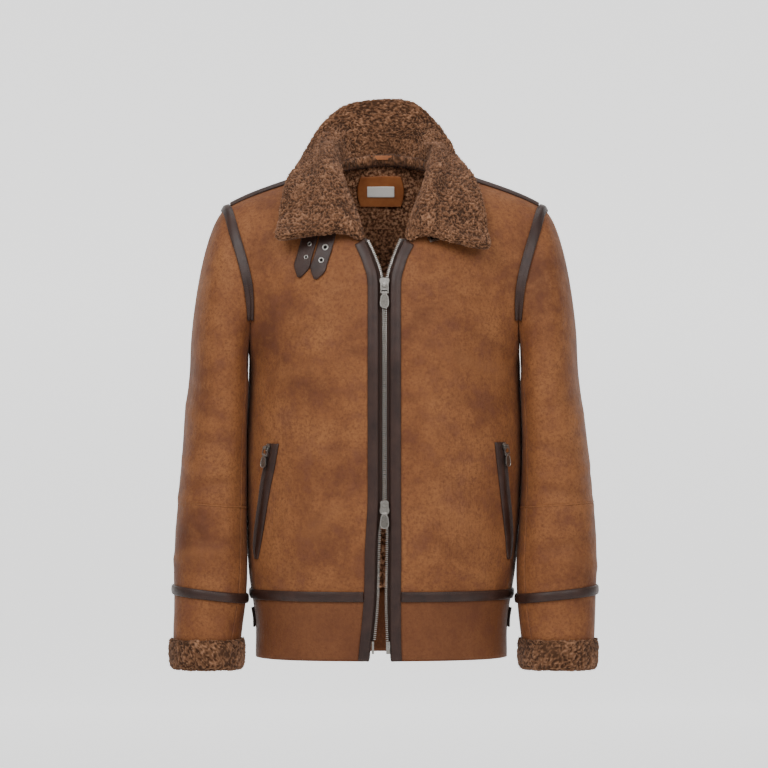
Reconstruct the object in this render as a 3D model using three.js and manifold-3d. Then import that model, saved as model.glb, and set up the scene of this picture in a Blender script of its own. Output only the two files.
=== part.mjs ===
// Sheepskin flying jacket, filled out as if worn, millimetres, +Z up, front towards -Y.
// The origin is at the height of the neck points of the shoulders, midway between them.
// Left and right are the wearer's: left is +X.
import * as THREE from "three";
import { mergeVertices } from "three/addons/utils/BufferGeometryUtils.js";
import Module from "manifold-3d";

const wasm = await Module();
wasm.setup();

// Driving dimensions
const WALL = 8; // suede side, hide and clipped fleece together
const COLLAR_WALL = 14; // long fleece of the collar
const CUFF_SWELL = 6.5; // how far the turned-back cuff stands outside the sleeve
const CUFF_BOTTOM = -699;
const SEAM = 0.34; // each panel stops this far short of its seam line
const LIFT = 0.8; // clear space under a strip laid on a panel
const STRIP = 14; // width of the leather strips over the seams
const SIDE_SEAM_Y = 5;
const ARMPIT = [190.5, 5, -276];
const NECK_POINT = [70, 0, 5];
const SHOULDER_TIP = [223, 5, -55];
const FRONT_CORNER = [31, -110, -96];
const BACK_NECK = [0, 75, 18];
const ACROSS = 8; // columns of a front panel and of half the back
const RING = 24; // points round an armhole and a sleeve

// Body levels from the waist seam to the armpit.
// z, half width, front depth, back depth, pull of the front and of the side curves
const LEVELS = [
  [-593, 182.0, -137.5, 131, 110, 84],
  [-560, 187.0, -143, 134, 112, 86],
  [-520, 190.4, -145, 136, 112, 87],
  [-475, 192.0, -146, 137, 113, 88],
  [-430, 193.2, -146, 138, 113, 88],
  [-385, 193.6, -147, 139, 113, 88],
  [-345, 192.8, -147, 140, 112, 88],
  [-310, 191.0, -147, 139, 110, 86],
];
// Waistband levels from the hem up
const BAND_LEVELS = [
  [-682, 176.0, -130, 126, 106, 80],
  [-660, 176.0, -132, 127, 106, 80],
  [-628, 176.6, -134, 128.5, 107, 81],
];
// Front edge line above the armpit level: z, x is read from the zip edge table
const FRONT_LINE = [
  [-262, -146],
  [-235, -143.5],
  [-208, -140.5],
  [-180, -137],
  [-153, -133],
  [-125, -124],
];
const NECKLINE_FRONT = [
  FRONT_CORNER,
  [37, -101, -80],
  [45, -86, -61],
  [55, -64, -39],
  [64, -38, -17],
  NECK_POINT,
];
const NECKLINE_BACK = [BACK_NECK, [25, 71.5, 17], [47, 58, 14], [61, 40, 11], [68.5, 20, 8], NECK_POINT];
const BACK_LINE = [
  [-262, 138.5],
  [-222, 138.5],
  [-182, 137],
  [-142, 132],
  [-102, 123],
  [-62, 110],
  [-22, 95],
];
const ARMHOLE_FRONT = [
  SHOULDER_TIP,
  [217.5, -22, -61],
  [209, -48, -89],
  [196, -66, -132],
  [187.5, -72, -172],
  [186, -63, -215],
  [188, -38, -251],
  ARMPIT,
];
const ARMHOLE_BACK = [
  SHOULDER_TIP,
  [220, 32, -62],
  [212, 56, -90],
  [203, 72, -130],
  [197, 77, -175],
  [193, 68, -220],
  [191, 42, -256],
  ARMPIT,
];
// Curve pulls of the front rows above the armpit.
// row, pull at the inner end x y z, pull at the outer end x y z
const FRONT_PULLS = [
  [8, 110, -2, 0, 0, -84, 0],
  [9, 108, -2, 0, -1, -66, 2],
  [10, 104, -2, 0, -6, -50, 3],
  [11, 98, -3, -3, -16, -38, 5],
  [12, 80, -5, -12, -34, -28, 10],
  [14, 56, -12, -18, -50, -18, 15],
  [17, 52, -9, -10, -50, -10, 17],
  [20, 50, 0, -20, -35, 0, 24],
];
const BACK_PULLS = [
  [8, 110, 2, 0, 0, 84, 0],
  [9, 108, 3, 0, -1, 66, 2],
  [10, 102, 5, -2, -6, 52, 4],
  [12, 92, 4, -12, -30, 42, 14],
  [15, 66, 12, -24, -58, 38, 32],
  [18, 56, 18, -18, -48, 16, 28],
  [20, 50, 0, -20, -35, 0, 24],
];
// Inner edge of the leather along the zip: z, wearer's left x, wearer's right x
const ZIP_EDGE = [
  [-682, 9.0, -21.5],
  [-660, 8.3, -19.5],
  [-625, 7.8, -16.0],
  [-593, 7.8, -13.6],
  [-560, 8.0, -12.6],
  [-504, 8.4, -11.5],
  [-484, 8.0, -9.2],
  [-460, 7.8, -8.4],
  [-300, 7.8, -8.4],
  [-170, 7.8, -8.4],
  [-153, 9.0, -9.4],
  [-139, 12.0, -13.0],
  [-125, 17.0, -18.0],
  [-110, 24.0, -24.5],
  [-96, 31.0, -31.0],
];
// Meeting line of the teeth: z, wearer's left x, wearer's right x
const TEETH_LINE = [
  [-654, 2.8, -12.9],
  [-640, 2.2, -11.6],
  [-620, 1.4, -9.6],
  [-593, 1.0, -7.9],
  [-560, 1.6, -7.2],
  [-530, 2.2, -6.6],
  [-504, 2.4, -5.6],
  [-490, 2.0, -3.6],
  [-482, 1.6, -2.2],
  [-477, 1.25, -1.35],
  [-472, 0.9, -0.9],
  [-466, 0.3, -0.3],
  [-430, 0.3, -0.3],
  [-390, 0.3, -0.3],
  [-350, 0.3, -0.3],
  [-310, 0.3, -0.3],
  [-270, 0.3, -0.3],
  [-235, 0.3, -0.3],
  [-200, 0.3, -0.3],
  [-172, 0.3, -0.3],
  [-167, 0.4, -0.4],
  [-162, 1.0, -1.0],
  [-157, 1.8, -1.8],
  [-150, 3.2, -3.0],
  [-139, 6.2, -6.0],
  [-125, 11.0, -11.4],
  [-112, 16.0, -17.0],
  [-101, 21.0, -22.5],
];
// Collar free edge by station, from the front point over the shoulder to the back. The left leaf
// hangs lower and lies closer to the neck than the right one.
const COLLAR_EDGE = {
  left: [
    [142, -114, -117],
    [139, -96, -101],
    [134, -77, -83],
    [128, -58, -65],
    [121, -38, -47],
    [114, -18, -30],
    [104, 3, -12],
    [97, 34, 13],
    [83, 65, 46],
    [65, 85, 73],
    [42, 94, 93],
    [4, 96, 99],
  ],
  right: [
    [147, -114, -105],
    [144, -96, -91],
    [140, -77, -76],
    [136, -58, -61],
    [131, -38, -45],
    [127, -18, -30],
    [119, 3, -13],
    [111, 34, 12],
    [95, 65, 46],
    [77, 85, 73],
    [47, 94, 93],
    [-4, 96, 99],
  ],
};
// Pulls of the collar's curve: station, at the neck x y z, at the free edge x y z
const COLLAR_PULLS = [
  [0, 14, -13, 10, -45, -4, 3],
  [3, 8, -14, 30, -35, -3, 14],
  [6, 4, 0, 42, -32, -2, 14],
  [9, 12, 14, 38, -14, -10, -16],
  [11, 0, 4, 32, 0, -8, -30],
];
// Sleeve head, from the armhole to the level of the armpit.
// ring point, pull at the armhole x y z, pull at the level z
const HEAD_PULLS = [
  [0, 27, 0, -20, 95],
  [3, 27, -14, -20, 80],
  [6, 24, -9, -28, 50],
  [9, 8, -6, -22, 26],
  [12, 1, 0, -8, 8],
  [15, 8, 5, -22, 26],
  [18, 24, 9, -28, 50],
  [21, 27, 12, -20, 80],
  [24, 27, 0, -20, 95],
];
// Sleeve levels: z at the outer side, z at the inner side, outer x, inner x,
// middle y, half depth, turn about the vertical in degrees
const SLEEVE = {
  left: [
    [-284, -304, 271.5, 189.4, -10, 76, 10],
    [-330, -338, 277.5, 190.7, -12, 75, 10],
    [-375, -380, 283.5, 191.8, -14, 74, 9],
    [-420, -426, 288.0, 191.1, -17, 71, 8],
    [-466, -473, 291.5, 188.9, -21, 68, 8],
    [-500, -508, 294.5, 186.8, -25, 66, 7],
    [-545, -553, 295.4, 183.6, -28, 63, 6],
    [-587, -599, 294.8, 185.2, -30, 60, 5],
    [-625, -630, 293.6, 187.6, -31, 57, 3],
    [-661, -661, 292.0, 191.4, -32, 55, 0],
  ],
  right: [
    [-284, -304, 273.0, 189.4, -10, 76, 10],
    [-330, -338, 278.0, 190.8, -12, 75, 10],
    [-375, -380, 282.0, 192.0, -14, 74, 9],
    [-420, -426, 285.0, 192.0, -17, 71, 8],
    [-466, -473, 288.6, 191.9, -21, 68, 8],
    [-500, -508, 290.8, 191.6, -25, 66, 7],
    [-545, -553, 293.0, 191.0, -28, 63, 6],
    [-587, -599, 293.4, 193.0, -30, 60, 5],
    [-625, -630, 293.9, 196.8, -31, 57, 3],
    [-661, -661, 294.3, 200.4, -32, 55, 0],
  ],
};
const HEAD_ROWS = 7;
const ELBOW_LEVEL = 4; // index in SLEEVE of the elbow seam

// Soft folds of the body cloth, each a ridge (+) or trough (-) along a line on the front or back.
// x1, z1, x2, z2, half width, height, face (-1 front, 1 back)
const BODY_FOLDS = [
  [62, -215, 150, -330, 26, 2.2, -1],
  [118, -190, 150, -300, 22, -2.0, -1],
  [-70, -235, -140, -340, 26, 1.8, -1],
  [45, -420, 120, -520, 26, -2.2, -1],
  [40, -500, 110, -560, 22, 2.0, -1],
  [-50, -440, -110, -540, 26, 2.0, -1],
  [-120, -150, -170, -260, 22, -1.8, -1],
  [60, -120, 150, -300, 30, 2.4, 1],
  [-60, -140, -150, -290, 30, 2.2, 1],
  [0, -330, 90, -470, 34, -2.4, 1],
  [-30, -400, -110, -540, 30, 2.2, 1],
];
// Soft folds of the sleeves: outer-side height z, half height, depth, ring point, half turn in points
const SLEEVE_FOLDS = {
  left: [
    [-400, 20, -2.2, 8, 4],
    [-452, 18, 2.4, 9, 4],
    [-505, 18, -2.6, 9, 5],
    [-548, 16, 2.0, 7, 4],
    [-440, 22, -2.0, 19, 5],
  ],
  right: [
    [-385, 20, -2.0, 8, 4],
    [-440, 18, 2.0, 8, 4],
    [-515, 18, -2.4, 8, 5],
    [-560, 16, 2.2, 8, 4],
    [-450, 22, -2.0, 19, 5],
  ],
};

const LEATHER = { color: 0x8c5838, roughness: 0.75 };
const TRIM = { color: 0x46322b, roughness: 0.55 };
const FLEECE = { color: 0xa57d64, roughness: 1 };
const METAL = { color: 0xaaa59e, roughness: 0.35, metalness: 1 };
const TAPE = { color: 0x2b2320, roughness: 0.9 };
const PATCH = { color: 0x87502f, roughness: 0.7 };
const LABEL = { color: 0xe6e2da, roughness: 0.9 };

const group = new THREE.Group();
const vec = (p) => new THREE.Vector3(...p);
const mirrored = (p) => new THREE.Vector3(-p.x, p.y, p.z);

function addMesh(name, geometry, look) {
  const mesh = new THREE.Mesh(geometry, new THREE.MeshStandardMaterial(look));
  mesh.name = name;
  group.add(mesh);
}

// Reading of a table at a value of its first column, smooth between rows
function reading(table, at) {
  const rows = table[0][0] < table[table.length - 1][0] ? table : [...table].reverse();
  const last = rows.length - 1;
  const t = Math.min(Math.max(at, rows[0][0]), rows[last][0]);
  let i = 0;
  while (i < last - 1 && t > rows[i + 1][0]) i++;
  const span = rows[i + 1][0] - rows[i][0];
  const u = (t - rows[i][0]) / span;
  const slope = (k, c) => {
    if (k === 0 || k === last) {
      const a = k === 0 ? 0 : last - 1;
      return (rows[a + 1][c] - rows[a][c]) / (rows[a + 1][0] - rows[a][0]);
    }
    const before = (rows[k][c] - rows[k - 1][c]) / (rows[k][0] - rows[k - 1][0]);
    const after = (rows[k + 1][c] - rows[k][c]) / (rows[k + 1][0] - rows[k][0]);
    return before * after <= 0 ? 0 : (2 * before * after) / (before + after);
  };
  return rows[0].slice(1).map((_, n) => {
    const c = n + 1;
    const h1 = 2 * u ** 3 - 3 * u ** 2 + 1;
    const h2 = u ** 3 - 2 * u ** 2 + u;
    const h3 = -2 * u ** 3 + 3 * u ** 2;
    const h4 = u ** 3 - u ** 2;
    return h1 * rows[i][c] + h2 * span * slope(i, c) + h3 * rows[i + 1][c] + h4 * span * slope(i + 1, c);
  });
}

// Points at even steps along a smooth curve through the given ones
function spaced(points, steps) {
  const curve = new THREE.CatmullRomCurve3(points.map((p) => vec(p)), false, "centripetal");
  curve.arcLengthDivisions = 400;
  return curve.getSpacedPoints(steps);
}

function bezier(a, aPull, b, bPull, t) {
  const curve = new THREE.CubicBezierCurve3(a, a.clone().add(aPull), b.clone().add(bPull), b);
  return curve.getPoint(t);
}

const smooth = (low, high, x) => {
  const t = Math.min(Math.max((x - low) / (high - low), 0), 1);
  return t * t * (3 - 2 * t);
};

// The lower body hangs a little towards the wearer's right, its front edges excepted.
function leaning(p) {
  const held = p.y < 0 ? smooth(25, 120, Math.abs(p.x)) : 1;
  return new THREE.Vector3(p.x - 4.2 * held * smooth(-370, -600, p.z), p.y, p.z);
}

// Height of the folds at a point of the body
function foldAt(p) {
  let out = 0;
  for (const [x1, z1, x2, z2, half, height, face] of BODY_FOLDS) {
    if (p.y * face < 40) continue;
    const dx = x2 - x1;
    const dz = z2 - z1;
    const t = ((p.x - x1) * dx + (p.z - z1) * dz) / (dx * dx + dz * dz);
    if (t < 0 || t > 1) continue;
    const away = Math.hypot(p.x - x1 - t * dx, p.z - z1 - t * dz) / half;
    out += height * Math.exp(-away * away) * Math.sin(Math.PI * t);
  }
  return out;
}

function folded(p) {
  const side = p.y < 0 ? -1 : 1;
  return new THREE.Vector3(p.x, p.y + side * foldAt(p), p.z);
}

// One row of half a front or back, from the inner line out to the side
function acrossRow(inner, innerPull, outer, outerPull) {
  const row = [];
  for (let j = 0; j <= ACROSS; j++) row.push(bezier(inner, innerPull, outer, outerPull, j / ACROSS));
  return row;
}

const armholeFront = spaced(ARMHOLE_FRONT, RING / 2);
const armholeBack = spaced(ARMHOLE_BACK, RING / 2);
const necklineFront = spaced(NECKLINE_FRONT, 6);
const necklineBack = spaced(NECKLINE_BACK, 5);

// Front of one side as rows from the bottom to the shoulder, drawn at +X. edge: column in ZIP_EDGE.
function frontHalf(edge) {
  const edgeX = (z) => Math.abs(reading(ZIP_EDGE, z)[edge]);
  const rows = LEVELS.map(([z, half, front, , pull, sidePull]) =>
    acrossRow(
      new THREE.Vector3(edgeX(z), front, z),
      new THREE.Vector3(pull, -1, 0),
      new THREE.Vector3(half, SIDE_SEAM_Y, z),
      new THREE.Vector3(0, -sidePull, 0),
    ),
  );
  const inner = [
    ...FRONT_LINE.map(([z, y]) => new THREE.Vector3(edgeX(z), y, z)),
    ...necklineFront,
  ];
  inner.forEach((start, n) => {
    const [ax, ay, az, bx, by, bz] = reading(FRONT_PULLS, 8 + n);
    rows.push(acrossRow(start, vec([ax, ay, az]), armholeFront[12 - n], vec([bx, by, bz])));
  });
  return rows;
}

function backHalf() {
  const rows = LEVELS.map(([z, half, , back, pull, sidePull]) =>
    acrossRow(
      new THREE.Vector3(0, back, z),
      new THREE.Vector3(pull, 0, 0),
      new THREE.Vector3(half, SIDE_SEAM_Y, z),
      new THREE.Vector3(0, sidePull, 0),
    ),
  );
  const inner = [
    ...BACK_LINE.map(([z, y]) => new THREE.Vector3(0, y, z)),
    ...necklineBack,
  ];
  inner.forEach((start, n) => {
    const [ax, ay, az, bx, by, bz] = reading(BACK_PULLS, 8 + n);
    rows.push(acrossRow(start, vec([ax, ay, az]), armholeBack[12 - n], vec([bx, by, bz])));
  });
  return rows;
}

function bandHalf(edge) {
  const levels = [...BAND_LEVELS, LEVELS[0]];
  return levels.map(([z, half, front, back, pull, sidePull]) =>
    edge === null
      ? acrossRow(
          new THREE.Vector3(0, back, z),
          new THREE.Vector3(pull, 0, 0),
          new THREE.Vector3(half, SIDE_SEAM_Y, z),
          new THREE.Vector3(0, sidePull, 0),
        )
      : acrossRow(
          new THREE.Vector3(Math.abs(reading(ZIP_EDGE, z)[edge]), front, z),
          new THREE.Vector3(pull, -1, 0),
          new THREE.Vector3(half, SIDE_SEAM_Y, z),
          new THREE.Vector3(0, -sidePull, 0),
        ),
  );
}

const mirrorRows = (rows) => rows.map((row) => row.map(mirrored).reverse());
const settled = (rows) => rows.map((row) => row.map((p) => leaning(folded(p))));

// Ring of the sleeve at one of its levels, drawn at +X
function levelRing([zOut, zIn, outX, inX, midY, deep, turn]) {
  const half = (outX - inX) / 2;
  const midX = (outX + inX) / 2;
  const angle = THREE.MathUtils.degToRad(turn);
  const oval = [];
  for (let k = 0; k < RING; k++) {
    const a = (2 * Math.PI * k) / RING;
    const c = Math.sign(Math.cos(a)) * Math.abs(Math.cos(a)) ** 0.9 * half;
    const s = -Math.sign(Math.sin(a)) * Math.abs(Math.sin(a)) ** 0.9 * deep;
    oval.push([c * Math.cos(angle) + s * Math.sin(angle), -c * Math.sin(angle) + s * Math.cos(angle)]);
  }
  // The turned oval is narrowed so that its widest points stay at outX and inX.
  const widest = Math.max(...oval.map(([x]) => x));
  return oval.map(([x, y]) => {
    const share = (x / widest + 1) / 2;
    return new THREE.Vector3(midX + (x / widest) * half, midY + y, zIn + (zOut - zIn) * share);
  });
}

function sleeveRows(side) {
  const armhole = [];
  for (let k = 0; k < RING; k++) {
    armhole.push(k <= 12 ? armholeFront[k].clone() : armholeBack[RING - k].clone());
  }
  const levels = SLEEVE[side].map(levelRing);
  const rows = [];
  for (let i = 0; i < HEAD_ROWS; i++) {
    rows.push(
      armhole.map((start, k) => {
        const [ax, ay, az, bz] = reading(HEAD_PULLS, k);
        return bezier(start, vec([ax, ay, az]), levels[0][k], vec([0, 0, bz]), i / HEAD_ROWS);
      }),
    );
  }
  rows.push(...levels);
  return rows.map((row, i) => (i === 0 ? row : creased(row, SLEEVE_FOLDS[side])));
}

// Sleeve ring with its soft folds pressed in or out, away from the side that faces the body
function creased(row, folds) {
  const middle = row.reduce((sum, p) => sum.add(p), new THREE.Vector3()).divideScalar(row.length);
  return row.map((p, k) => {
    let out = 0;
    for (const [z, tall, height, at, turn] of folds) {
      const round = Math.min(Math.abs(k - at), RING - Math.abs(k - at)) / turn;
      const high = (p.z - z) / tall;
      out += height * Math.exp(-high * high - round * round);
    }
    const facing = smooth(0, -30, p.x - middle.x);
    const way = p.clone().sub(middle).setZ(0).normalize();
    return p.clone().addScaledVector(way, out * (1 - facing));
  });
}

const part = (rows, from, to, first, last) =>
  rows.slice(from, to + 1).map((row) => {
    const out = [];
    for (let k = first; k <= last; k++) out.push(row[k % RING].clone());
    return out;
  });

// Collar from one front corner round the neck to the other
const COLLAR_ROWS = 6;
function collarRows() {
  const neck = [...necklineFront, ...[...necklineBack].reverse().slice(1)];
  const leaf = (edge, i) =>
    neck.map((start, s) => {
      const [ax, ay, az, bx, by, bz] = reading(COLLAR_PULLS, s);
      return bezier(start, vec([ax, ay, az]), vec(edge[s]), vec([bx, by, bz]), i / COLLAR_ROWS);
    });
  const rows = [];
  for (let i = 0; i <= COLLAR_ROWS; i++) {
    const left = leaf(COLLAR_EDGE.left, i);
    const right = leaf(COLLAR_EDGE.right, i).map(mirrored).reverse();
    rows.push([...left, ...right.slice(1)]);
  }
  return rows;
}

// Two triangles of a grid cell, split along its shorter diagonal
function cellSplit(a, b, c, d) {
  return a.distanceTo(c) <= b.distanceTo(d) ? [[0, 1, 2], [0, 2, 3]] : [[0, 1, 3], [1, 2, 3]];
}

// Faces of a grid as index triples, with its outer side up
function gridFaces(rows) {
  const wide = rows[0].length;
  const faces = [];
  for (let i = 0; i + 1 < rows.length; i++) {
    for (let j = 0; j + 1 < wide; j++) {
      const ids = [i * wide + j, i * wide + j + 1, (i + 1) * wide + j + 1, (i + 1) * wide + j];
      const corners = [rows[i][j], rows[i][j + 1], rows[i + 1][j + 1], rows[i + 1][j]];
      for (const t of cellSplit(...corners)) faces.push(t.map((n) => ids[n]));
    }
  }
  return faces;
}

const placeKey = (p) => [p.x, p.y, p.z].map((c) => Math.round(c * 20 + 0.001)).join(" ");

// Border of a surface as a loop of point numbers, anticlockwise seen from outside
function borderOf(faces) {
  const edges = new Set(faces.flatMap(([a, b, c]) => [a + " " + b, b + " " + c, c + " " + a]));
  const next = new Map();
  for (const edge of edges) {
    const [u, v] = edge.split(" ").map(Number);
    if (!edges.has(v + " " + u)) next.set(u, v);
  }
  const first = next.keys().next().value;
  const loop = [first];
  for (let id = next.get(first); id !== first; id = next.get(id)) loop.push(id);
  return loop;
}

// Cloth panels. Each is one surface of grids joined where they share points, with a wall behind it.
const panels = [];
function panel(name, grids, wall, look) {
  const made = { name, wall, look, points: [], rowOf: [], faces: [] };
  const found = new Map();
  for (const rows of grids) {
    const ids = rows.flatMap((row, i) =>
      row.map((p) => {
        const k = placeKey(p);
        if (!found.has(k)) {
          found.set(k, made.points.length);
          made.points.push(p);
          made.rowOf.push(i);
        }
        return found.get(k);
      }),
    );
    for (const t of gridFaces(rows)) made.faces.push(t.map((n) => ids[n]));
  }
  made.faces = made.faces.filter(([a, b, c]) => a !== b && b !== c && c !== a);
  made.loop = borderOf(made.faces);
  panels.push(made);
  return made;
}
const halves = (rows) => [rows.map((r) => [...r].reverse()), rows.map((r) => r.map(mirrored))];
const leant = (rows) => rows.map((row) => row.map(leaning));

const BODY = [
  panel("front_left", [settled(frontHalf(0))], WALL, LEATHER),
  panel("front_right", [settled(mirrorRows(frontHalf(1)))], WALL, LEATHER),
  panel("back", halves(backHalf()).map(settled), WALL, LEATHER),
];
const BAND = [
  panel("waistband_front_left", [leant(bandHalf(0))], WALL, LEATHER),
  panel("waistband_front_right", [leant(mirrorRows(bandHalf(1)))], WALL, LEATHER),
  panel("waistband_back", halves(bandHalf(null)).map(leant), WALL, LEATHER),
];
const sleeves = { left: sleeveRows("left"), right: sleeveRows("right") };
const ELBOW = HEAD_ROWS + ELBOW_LEVEL;
const SLEEVE_END = HEAD_ROWS + SLEEVE.left.length - 1;
for (const side of ["left", "right"]) {
  const faced = (rows) => [side === "left" ? rows : mirrorRows(rows)];
  const rows = sleeves[side];
  panel("sleeve_upper_top_" + side, faced(part(rows, 0, ELBOW, 15, 33)), WALL, LEATHER);
  panel("sleeve_upper_under_" + side, faced(part(rows, 0, ELBOW, 9, 15)), WALL, LEATHER);
  panel("sleeve_lower_top_" + side, faced(part(rows, ELBOW, SLEEVE_END, 15, 33)), WALL, LEATHER);
  panel("sleeve_lower_under_" + side, faced(part(rows, ELBOW, SLEEVE_END, 9, 15)), WALL, LEATHER);
}
const collar = panel("collar", [collarRows()], COLLAR_WALL, FLEECE);

// Normals of a panel, and those shared along seams so that walls meet in a mitre
function shareNormals(list) {
  const places = new Map();
  for (const made of list) {
    made.own = made.points.map(() => new THREE.Vector3());
    for (const [a, b, c] of made.faces) {
      const e1 = made.points[b].clone().sub(made.points[a]);
      const e2 = made.points[c].clone().sub(made.points[a]);
      const n = e1.cross(e2);
      for (const k of [a, b, c]) made.own[k].add(n);
    }
    made.points.forEach((p, n) => {
      made.own[n].normalize();
      const k = placeKey(p);
      if (!places.has(k)) places.set(k, []);
      places.get(k).push({ made, normal: made.own[n] });
    });
  }
  for (const made of list) {
    made.keep = [];
    made.normals = made.points.map((p, n) => {
      const own = made.own[n];
      const sum = own.clone();
      let least = 1;
      for (const other of places.get(placeKey(p))) {
        if (other.made === made) continue;
        const weight = smooth(-0.2, 0.4, own.dot(other.normal));
        least = Math.min(least, weight);
        sum.addScaledVector(other.normal, weight);
      }
      made.keep.push(least);
      return sum.normalize();
    });
  }
}

// How far and which way each border point stands in from the edge of its panel
function insets(made) {
  const { points, own, loop } = made;
  return loop.map((id, n) => {
    const before = points[loop[(n + loop.length - 1) % loop.length]];
    const after = points[loop[(n + 1) % loop.length]];
    const ins = [points[id].clone().sub(before), after.clone().sub(points[id])].map((edge) =>
      new THREE.Vector3().crossVectors(own[id], edge).normalize(),
    );
    const sum = ins[0].clone().add(ins[1]);
    return sum.multiplyScalar(1 / Math.max(1 + ins[0].dot(ins[1]), 0.5));
  });
}

// Closed cloth solid: outer face, inner face and a rim between them, rounded out by swell
function clothSolid(made, wallAt, swellAt) {
  const { points, own, normals, keep, loop, faces } = made;
  const count = points.length;
  const outer = points.map((p) => p.clone());
  const inner = points.map((p, id) => {
    const mitre = 1 / Math.max(normals[id].dot(own[id]), 0.6);
    return p.clone().addScaledVector(normals[id], -wallAt(id) * mitre);
  });
  const ways = insets(made);
  loop.forEach((id, n) => {
    const back = -0.55 * (1 - keep[id]);
    for (const p of [outer[id], inner[id]]) {
      p.addScaledVector(ways[n], SEAM).addScaledVector(own[id], back);
    }
  });
  const all = [...outer, ...inner];
  const skin = [...faces, ...faces.map(([a, b, c]) => [a + count, c + count, b + count])];
  const chains = loop.map((id, n) => {
    const out = swellAt(id);
    if (!out) return [id, id + count];
    const mid = outer[id].clone().add(inner[id]).multiplyScalar(0.5);
    all.push(mid.addScaledVector(ways[n].clone().normalize(), -out));
    return [id, all.length - 1, id + count];
  });
  chains.forEach((chain, n) => skin.push(...ribbon(all, chain, chains[(n + 1) % chains.length])));
  return fromFaces(all, skin);
}

// Triangles between two short chains of points, the second ahead of the first on the border
function ribbon(points, one, two) {
  const faces = [];
  let i = 0;
  let j = 0;
  while (i < one.length - 1 || j < two.length - 1) {
    const canOne = i < one.length - 1;
    const canTwo = j < two.length - 1;
    const acrossOne = canOne ? points[one[i + 1]].distanceTo(points[two[j]]) : Infinity;
    const acrossTwo = canTwo ? points[one[i]].distanceTo(points[two[j + 1]]) : Infinity;
    if (acrossOne < acrossTwo) {
      faces.push([one[i], one[i + 1], two[j]]);
      i++;
    } else {
      faces.push([one[i], two[j + 1], two[j]]);
      j++;
    }
  }
  return faces;
}

function fromFaces(points, faces) {
  const geometry = new THREE.BufferGeometry();
  const flat = new Float32Array(points.flatMap((p) => [p.x, p.y, p.z]));
  geometry.setAttribute("position", new THREE.BufferAttribute(flat, 3));
  geometry.setIndex(faces.flat());
  geometry.computeVertexNormals();
  return geometry;
}

shareNormals(panels);

// Outer faces of panels, for pieces laid on them
function facesOf(list) {
  return list.flatMap((made) =>
    made.faces.map((ids) => ({
      corners: ids.map((n) => made.points[n]),
      normals: ids.map((n) => made.normals[n]),
    })),
  );
}

function spotOn(face, point, far) {
  const weights = THREE.Triangle.getBarycoord(point, ...face.corners, new THREE.Vector3());
  if (!weights) return null;
  const normal = new THREE.Vector3();
  weights.toArray().forEach((w, n) => normal.addScaledVector(face.normals[n], w));
  return { far, point: point.clone(), normal: normal.normalize() };
}

// Spot of the cloth met from a place along a direction
function meet(faces, from, along) {
  const ray = new THREE.Ray(from, along.clone().normalize());
  const hit = new THREE.Vector3();
  let best = null;
  for (const face of faces) {
    if (!ray.intersectTriangle(...face.corners, false, hit)) continue;
    const far = hit.distanceTo(from);
    if (!best || far < best.far) best = spotOn(face, hit, far) ?? best;
  }
  return best;
}

// Spot of the cloth nearest to a place
function nearest(faces, from) {
  const near = new THREE.Vector3();
  const tri = new THREE.Triangle();
  let best = null;
  for (const face of faces) {
    tri.set(...face.corners);
    tri.closestPointToPoint(from, near);
    const far = near.distanceTo(from);
    if (!best || far < best.far) best = spotOn(face, near, far) ?? best;
  }
  return best;
}

// Piece laid on the cloth: rows of spots, lifted clear and given its own wall
function laidSolid(rows, wallAt, lift = LIFT) {
  const base = rows.map((row) => row.map((q) => q.point.clone().addScaledVector(q.normal, lift)));
  const top = base.map((row, i) =>
    row.map((p, j) => p.clone().addScaledVector(rows[i][j].normal, wallAt(i, j))),
  );
  const count = base.flat().length;
  const faces = gridFaces(top);
  const skin = [...faces, ...faces.map(([a, b, c]) => [a + count, c + count, b + count])];
  const points = [...top.flat(), ...base.flat()];
  const loop = borderOf(faces);
  loop.forEach((a, n) => {
    const b = loop[(n + 1) % loop.length];
    skin.push(...ribbon(points, [a, a + count], [b, b + count]));
  });
  return fromFaces(points, skin);
}

// Lifts the collar leaf clear of the chest and shoulders, with room for the throat straps in front.
const bodyFaces = facesOf(BODY);
const stations = 2 * COLLAR_EDGE.left.length - 1;
collar.points = collar.points.map((p, id) => {
  const s = id % stations;
  const station = Math.min(s, stations - 1 - s);
  const room = (8 - 2 * smooth(2, 5, station)) * smooth(0, 1.95, collar.rowOf[id]);
  if (!room) return p;
  const under = nearest(bodyFaces, p);
  const high = p.clone().sub(under.point).dot(under.normal);
  return high < room ? p.clone().addScaledVector(under.normal, room - high) : p;
});
shareNormals(panels);

for (const made of panels) {
  const long = made === collar;
  const wallAt = (id) => (long ? WALL + (COLLAR_WALL - WALL) * smooth(0, 2, made.rowOf[id]) : made.wall);
  const swellAt = (id) => (long && made.rowOf[id] > 1 ? 4 : 0);
  addMesh(made.name, clothSolid(made, wallAt, swellAt), made.look);
}

// Strips of folded leather over the seams, low at their edges and full in the middle
const DOMED = [1.6, 2.7, 3.1, 2.7, 1.6];
const STRIP_SHARES = [-1, -0.5, 0, 0.5, 1];
const allFaces = facesOf(panels.filter((made) => made !== collar));
const trunkFaces = facesOf([...BODY, ...BAND]);
const frontSpot = (faces, x, z) => meet(faces, new THREE.Vector3(x, -400, z), new THREE.Vector3(0, 1, 0));

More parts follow.
